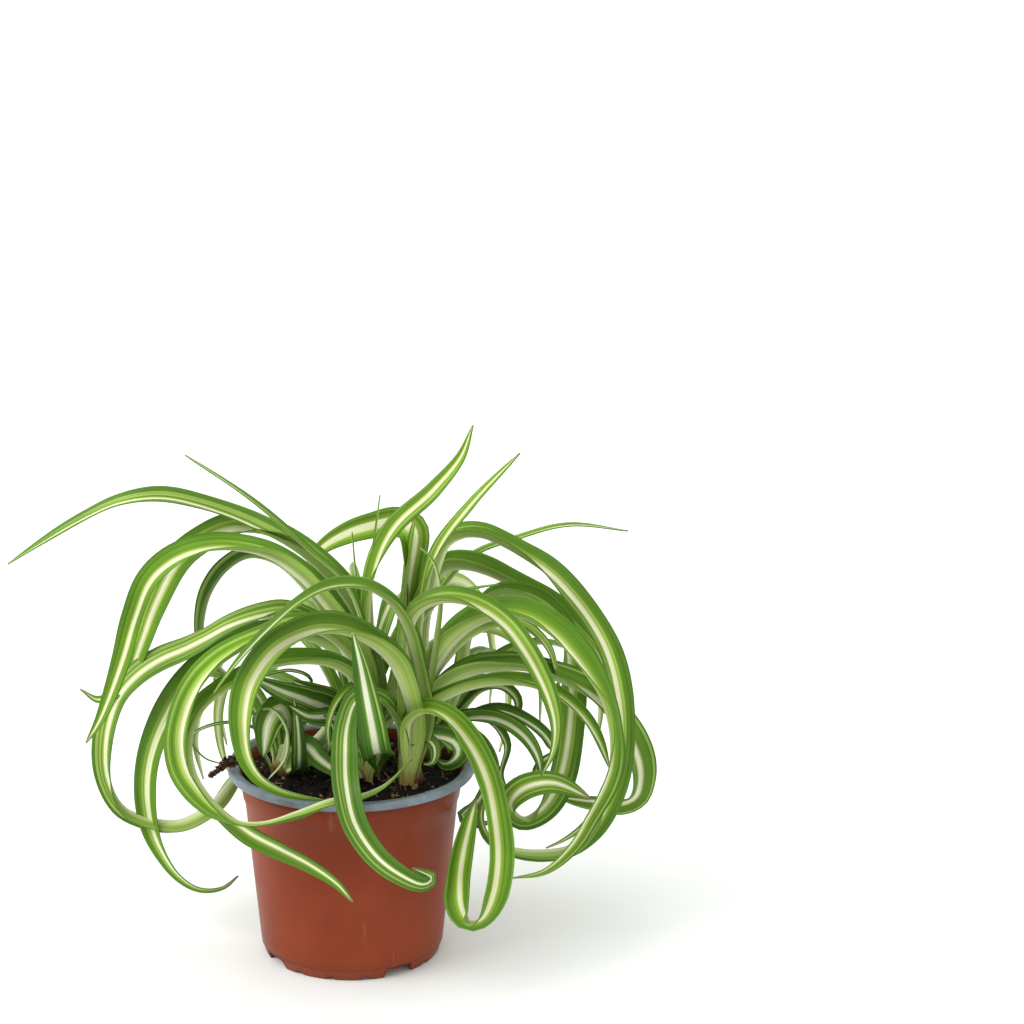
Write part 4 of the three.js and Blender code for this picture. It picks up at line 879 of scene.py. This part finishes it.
leaf_bases = stock_finish()
for rosette in ROSETTES:
    bm = bmesh.new()
    outline = [(share * rosette["radius"] * MM, height * MM) for share, height in STOCK_PROFILE]
    spin_profile(bm, outline, STOCK_SIDES)
    for vert in bm.verts:
        turn = math.atan2(vert.co.y, vert.co.x)
        rise = max(0, vert.co.z / MM - RIB_START) / RIB_HEIGHT
        rib = abs(math.sin(STOCK_RIBS / 2 * turn + RIB_TWIST * rise))
        vert.co.xy = vert.co.xy * (STOCK_CORE + RIB_DEPTH * rise * rib)
    bmesh.ops.translate(bm, verts=bm.verts, vec=Vector((*rosette["at"], 0)) * MM)
    link_piece("stock_" + rosette["name"], bm, [leaf_bases])

# %% [markdown]
# ## The pot
#
# The pot is a thin moulded shell: a rolled rim, a collar, a tapering wall with a step, and a
# foot ring with drain notches. A shell like this is one outline spun round its axis. The
# notches are not cut: the foot ring's lower edge is lifted where a notch is, as the mould does.

# %% Pot
POT_SIDES = 320
GAP = 0.3  # mm between the pot and its soil
RIM_RADIUS = 60
POT_HEIGHT = 96.5
FOOT_RADIUS = 42.6
WALL = 1.3
RIM_BAND = 3.9
RIM_LIP = 4
RIM_DISH = 1.6
COLLAR_TOP_RADIUS = 54.6
COLLAR_LOW_RADIUS = 52.7
COLLAR_HEIGHT = 12.5
COLLAR_STEP = 0.7
SKIRT_HEIGHT = 5
SKIRT_RADIUS = 44.6
FOOT_RING = 1.6
GUTTER_Z = 5.4
GUTTER_RADIUS = 34
NOTCH_COUNT = 16
NOTCH_TURN = 31
WIDE_NOTCH = (15, 5)  # width, height
SMALL_NOTCH = (4.5, 1.6)
NOTCH_SLOPE = 1.6
RIM_ROUND = 1.3
RIM_STEPS = 6
WALL_STEP = 10
LIP_Z = POT_HEIGHT - RIM_BAND
COLLAR_Z = LIP_Z - COLLAR_HEIGHT
STEP_Z = COLLAR_Z - COLLAR_STEP
GROOVE_Z = LIP_Z - 3.2
FOOT_INSIDE = FOOT_RADIUS - FOOT_RING


def outer_radius(z):
    if z >= COLLAR_Z:
        low, high, first, last = COLLAR_Z, LIP_Z, COLLAR_LOW_RADIUS, COLLAR_TOP_RADIUS
    else:
        low, high, first, last = SKIRT_HEIGHT, COLLAR_Z, SKIRT_RADIUS, COLLAR_LOW_RADIUS - COLLAR_STEP
    return first + (last - first) * (z - low) / (high - low)


def pot_profile():
    """The pot's section in mm, from the middle of its underside up over the rim and down inside.

    Offsets of half a millimetre and less are the small roundings of a moulding."""
    wall = [(outer_radius(z), z) for z in range(WALL_STEP, int(STEP_Z), WALL_STEP)]
    rim_edge = []
    for i in range(RIM_STEPS + 1):
        turn = math.pi / 2 * i / RIM_STEPS
        across, up = RIM_ROUND * math.cos(turn), RIM_ROUND * math.sin(turn)
        rim_edge.append((RIM_RADIUS - RIM_ROUND + across, POT_HEIGHT - RIM_ROUND + up))
    return [
        (0, 0), (GUTTER_RADIUS, 0), (GUTTER_RADIUS + 0.4, 0.4), (GUTTER_RADIUS + 1, GUTTER_Z),
        (FOOT_INSIDE - 0.2, GUTTER_Z), (FOOT_INSIDE, 0.1), (FOOT_INSIDE + 0.3, 0), (FOOT_RADIUS - 0.3, 0),
        (FOOT_RADIUS, 0.2), (SKIRT_RADIUS - 0.5, SKIRT_HEIGHT - 0.1),
        (SKIRT_RADIUS - 0.45, SKIRT_HEIGHT + 0.15), (SKIRT_RADIUS, SKIRT_HEIGHT + 0.35),
        *wall, (outer_radius(STEP_Z), STEP_Z), (COLLAR_LOW_RADIUS - 0.15, COLLAR_Z - 0.15),
        (COLLAR_LOW_RADIUS, COLLAR_Z + 0.15), (outer_radius(LIP_Z - 5), LIP_Z - 5),
        (outer_radius(GROOVE_Z), GROOVE_Z), (outer_radius(GROOVE_Z) - 0.25, GROOVE_Z + 0.25),
        (outer_radius(GROOVE_Z + 0.5), GROOVE_Z + 0.5), (COLLAR_TOP_RADIUS, LIP_Z - 0.2),
        (COLLAR_TOP_RADIUS + 0.6, POT_HEIGHT - RIM_DISH - WALL), (RIM_RADIUS - WALL, POT_HEIGHT - WALL),
        (RIM_RADIUS - WALL, LIP_Z + 0.2), (RIM_RADIUS - WALL + 0.3, LIP_Z), (RIM_RADIUS - 0.35, LIP_Z),
        (RIM_RADIUS, LIP_Z + 0.4), *rim_edge, (RIM_RADIUS - RIM_LIP, POT_HEIGHT - 0.35),
        (COLLAR_TOP_RADIUS - 0.2, POT_HEIGHT - RIM_DISH), (outer_radius(LIP_Z) - WALL, LIP_Z),
        (outer_radius(COLLAR_Z) - WALL, COLLAR_Z),
        (outer_radius(GUTTER_Z + WALL) - WALL, GUTTER_Z + WALL), (GUTTER_RADIUS, GUTTER_Z + WALL),
        (GUTTER_RADIUS - WALL, WALL), (0, WALL),
    ]


def notch_height(turn):
    """How far the foot ring's lower edge is lifted at this direction from the axis."""
    spacing = math.tau / NOTCH_COUNT
    first = math.radians(NOTCH_TURN) - math.pi / 2
    index = round((turn - first) / spacing)
    width, height = SMALL_NOTCH if index % 4 else WIDE_NOTCH
    off = abs(turn - first - index * spacing) * FOOT_RADIUS
    slope = min(1, max(0, (width / 2 + 0.5 - off) / NOTCH_SLOPE))
    return height * slope * slope * (3 - 2 * slope)


bm = bmesh.new()
spin_profile(bm, [(radius * MM, z * MM) for radius, z in pot_profile()], POT_SIDES)
for vert in bm.verts:
    radius = vert.co.xy.length / MM
    z = vert.co.z / MM
    if z < 1 and FOOT_INSIDE - 1 < radius < FOOT_RADIUS + 1:
        lift = notch_height(math.atan2(vert.co.y, vert.co.x))
        grow = 1 + lift / SKIRT_HEIGHT * (SKIRT_RADIUS - FOOT_RADIUS) / FOOT_RADIUS
        vert.co = Vector((vert.co.x * grow, vert.co.y * grow, max(vert.co.z, lift * MM)))
for face in bm.faces:
    middle = face.calc_center_median() / MM
    if middle.z > LIP_Z - 0.1 and middle.xy.length > COLLAR_TOP_RADIUS - 0.6:
        face.material_index = 1

# %% [markdown]
# ## The pot's finish
#
# Injection-moulded polypropylene is satin, with a slightly mottled colour and faint upright
# scuffs from stacking. A blue-grey bloom, such as hard water leaves, hides the rim's colour. Two
# finishes on one mesh do it, chosen by face.

# %% Pot finishes
SCUFF_TINT = tint("#916854")
DUST_TINT = tint("#80492f")
SPECK_TINT = tint("#5d5247")


def wall_finish():
    material, tree, shader = new_finish("pot_wall")
    place = object_place(tree)
    upright = add(tree, "Mapping", {"Vector": place, "Scale": (1, 1, 0.08)}).outputs[0]
    clouds = noise_of(place, 18, 4)
    scuffs = noise_of(upright, 160, 3, 0.6)
    colour = ramp(clouds, [(0.3, "#6c2c15"), (0.5, "#783219"), (0.72, "#843a20")])
    colour = blend(remap(scuffs, 0.62, 0.8, 0, 0.35), colour, SCUFF_TINT)
    foot_dust = remap(parts_of(place)[2], 0.012, 0, 0, 0.3)
    fill(shader, {
        "Base Color": blend(foot_dust, colour, DUST_TINT),
        "Roughness": stretch(clouds, 0.36, 0.46),
        "Normal": bump(noise_of(place, 1400), 0.00008, 0.6),
        "Specular IOR Level": 0.14,
    })
    return material


def rim_finish():
    material, tree, shader = new_finish("pot_rim_bloom")
    place = object_place(tree)
    patches = noise_of(place, 55, 5, 0.62)
    specks = noise_of(place, 900)
    bloom = ramp(patches, [(0.30, "#56554e"), (0.44, "#646e77"), (0.60, "#76838f"), (0.75, "#879099")])
    fill(shader, {
        "Base Color": blend(remap(specks, 0.60, 0.72, 0, 0.5), bloom, SPECK_TINT),
        "Roughness": stretch(patches, 0.38, 0.6),
        "Normal": bump(specks, 0.0001, 0.6),
    })
    return material


link_piece("pot_shell", bm, [wall_finish(), rim_finish()], "pot")

# %% [markdown]
# ## Soil
#
# Potting soil is peat with bits of bark and root in it. The surface is a spun disc with fine
# noise pressed into it, and on it lie hundreds of loose crumbs, each a small ball knocked out
# of round. A few long tan slivers stand for bark fibre.

# %% Soil
SOIL_Z = 89.6
SOIL_BUMP = 0.8
SOIL_ROUGH = 0.9
SOIL_SIDES = 200
SOIL_RINGS = 60
SOIL_EDGE = outer_radius(SOIL_Z) - WALL - GAP
EDGE_BAND = 0.4  # mm that stays level at the pot's wall
SOIL_SHADE = 0.2  # shades run from 0, black peat, to 1, pale bark
CRUMBS = 620
CRUMB_SIZES = (0.5, 0.7, 0.9, 1.3, 1.9)
CRUMB_SHADES = (0.1, 0.15, 0.2, 0.3, 0.45, 0.6, 0.85)
CRUMB_MARGIN = 1.6
SLIVERS = 70
SLIVER_MARGIN = 5
SOIL_SEED = 23
SOIL_COLOURS = [
    (0.0, "#060504"), (0.25, "#0d0906"), (0.45, "#1a110b"), (0.62, "#301c12"), (0.8, "#6a4f31"),
    (1.0, "#a08860"),
]


def soil_profile():
    """The soil's section in mm, from the middle of its underside up to the middle of its top."""
    floor_z = GUTTER_Z + WALL + GAP
    outline = [(0, WALL + GAP), (GUTTER_RADIUS - WALL - 2 * GAP, WALL + GAP), (GUTTER_RADIUS - GAP, floor_z)]
    outline += [(outer_radius(z) - WALL - GAP, z) for z in (floor_z, STEP_Z)]
    return outline + [(SOIL_EDGE * (1 - i / SOIL_RINGS), SOIL_Z) for i in range(SOIL_RINGS + 1)]


def soil_level(x, y):
    waves = 0.6 * math.sin(x / 5.3 + 1.1) * math.cos(y / 6.1) + 0.4 * math.sin((x - y) / 3.7)
    return SOIL_Z + SOIL_BUMP * waves + SOIL_ROUGH * noise.fractal(Vector((x, y, 0)) / 3.2, 0.6, 2.1, 5)


def soil_spot(margin, chance):
    """A random place on the soil, at least margin from its edge."""
    turn = chance.uniform(0, math.tau)
    reach = (SOIL_EDGE - margin) * math.sqrt(chance.random())
    return reach * math.cos(turn), reach * math.sin(turn)


def add_crumb(bm, centre, size, shade, chance):
    ball = bmesh.ops.create_icosphere(bm, subdivisions=1, radius=1)["verts"]
    turn = chance.uniform(0, math.tau)
    axis = Vector((chance.uniform(-1, 1), chance.uniform(-1, 1), 1))
    spin = Matrix.Rotation(turn, 3, axis)
    for vert in ball:
        knocked = Vector(c * chance.uniform(0.7, 1.25) for c in vert.co)
        vert.co = (centre + spin @ Vector(c * s for c, s in zip(knocked, size))) * MM
        vert[bm.verts.layers.float["shade"]] = shade


def soil_finish():
    material, tree, shader = new_finish("potting_soil")
    shade = add(tree, "Attribute", attribute_name="shade").outputs["Fac"]
    clumps = noise_of(object_place(tree), 420, 4, 0.65)
    fill(shader, {
        "Base Color": ramp(maths("ADD", shade, sway(clumps, 0.5), True), SOIL_COLOURS),
        "Roughness": 0.95,
        "Normal": bump(clumps, 0.0008, 0.9),
        "Specular IOR Level": 0.25,
    })
    return material


soil_chance = random.Random(SOIL_SEED)
bm = bmesh.new()
bm.verts.layers.float.new("shade")
spin_profile(bm, [(radius * MM, z * MM) for radius, z in soil_profile()], SOIL_SIDES)
for vert in bm.verts:
    x, y, z = vert.co / MM
    if z > SOIL_Z - 1 and math.hypot(x, y) < SOIL_EDGE - EDGE_BAND:
        vert.co.z = soil_level(x, y) * MM
    vert[bm.verts.layers.float["shade"]] = SOIL_SHADE
for i in range(CRUMBS):
    x, y = soil_spot(CRUMB_MARGIN, soil_chance)
    size = soil_chance.choice(CRUMB_SIZES) * soil_chance.uniform(0.8, 1.2)
    shade = soil_chance.choice(CRUMB_SHADES)
    flat = (size, size * soil_chance.uniform(0.6, 1), size * soil_chance.uniform(0.5, 0.8))
    add_crumb(bm, Vector((x, y, soil_level(x, y) + 0.3 * size)), flat, shade, soil_chance)
for i in range(SLIVERS):
    x, y = soil_spot(SLIVER_MARGIN, soil_chance)
    sliver = (soil_chance.uniform(2, 4.5), 0.35, 0.3)
    shade = soil_chance.uniform(0.7, 0.95)
    add_crumb(bm, Vector((x, y, soil_level(x, y) + 0.8)), sliver, shade, soil_chance)

# %% [markdown]
# ## The tuft on the rim
#
# On the left a matted wisp of root and peat has fallen across the rim. It is made of the same
# crumbs, strewn thickly along a bent line. It belongs to the soil, so it goes into its mesh.

# %% Root tuft
TUFT_ROUTE = [(-43, -4, 88), (-48, -7, 97), (-54, -10, 101.5), (-60, -13, 101), (-67, -15, 95)]
TUFT_RADII = [3.2, 3, 2.6, 2.2, 1.2]
TUFT_CRUMBS = 300

tuft_line = [Vector(place) for place in TUFT_ROUTE]
tuft_shares = [i / (len(TUFT_ROUTE) - 1) for i in range(len(TUFT_ROUTE))]
for i in range(TUFT_CRUMBS):
    share = soil_chance.random()
    centre = lookup(tuft_shares, tuft_line, share)
    thick = lookup(tuft_shares, TUFT_RADII, share)
    out = Vector((soil_chance.gauss(0, 0.45), soil_chance.gauss(0, 0.6), soil_chance.gauss(0, 0.4)))
    size = soil_chance.uniform(0.5, 1.2)
    shade = soil_chance.uniform(0.5, 0.74)
    add_crumb(bm, centre + out * thick, (size * 1.5, size, size * 0.8), shade, soil_chance)
bmesh.ops.recalc_face_normals(bm, faces=bm.faces)
link_piece("soil_crumbs", bm, [soil_finish()], "soil")

# %% [markdown]
# ## Studio
#
# The photograph is a product shot: white all round, with light from the upper left and a bright
# surround that fills the shadows. Suns are used because they light the whole floor alike, and
# wide ones because small lights would give the leaves hard highlights: a strong one from the
# left, and weak ones from behind and from the front. A white floor catches a soft shadow.

# %% Floor and lights
FLOOR_SIZE = 40  # m
FLOOR_COLOURS = [(0.0, "#dddfdd"), (1.0, "#dfe1df")]
SURROUND = 1.25
bm = bmesh.new()
bmesh.ops.create_grid(bm, x_segments=1, y_segments=1, size=FLOOR_SIZE / 2)
floor_mesh = bpy.data.meshes.new("floor")
bm.to_mesh(floor_mesh)
bm.free()
floor = bpy.data.objects.new("floor", floor_mesh)
floor_material, floor_tree, floor_shader = new_finish("floor_paper")
paper = ramp(noise_of(object_place(floor_tree), 30), FLOOR_COLOURS)
fill(floor_shader, {"Base Color": paper, "Roughness": 0.9, "Specular IOR Level": 0})
floor_mesh.materials.append(floor_material)
bpy.context.scene.collection.objects.link(floor)

world = bpy.data.worlds.new("surround")
world.use_nodes = True
background = world.node_tree.nodes["Background"]
fill(background, {"Color": (1, 1, 1, 1), "Strength": SURROUND})
bpy.context.scene.world = world


def sun(name, towards, spread, strength):
    """Shines along a direction; the wider its spread in degrees, the softer its shadows."""
    data = bpy.data.lights.new(name, "SUN")
    data.angle = math.radians(spread)
    data.energy = strength
    lamp = bpy.data.objects.new(name, data)
    lamp.rotation_euler = Vector(towards).to_track_quat("-Z", "Y").to_euler()
    bpy.context.scene.collection.objects.link(lamp)


sun("key", (1.6, 0.6, -1.4), 38, 2.1)
sun("back", (-0.4, -1.4, -1.5), 50, 0.5)
sun("front", (0.3, 1.3, -0.5), 70, 0.45)
bpy.context.scene.view_settings.view_transform = "Standard"
bpy.context.scene.view_settings.look = "None"
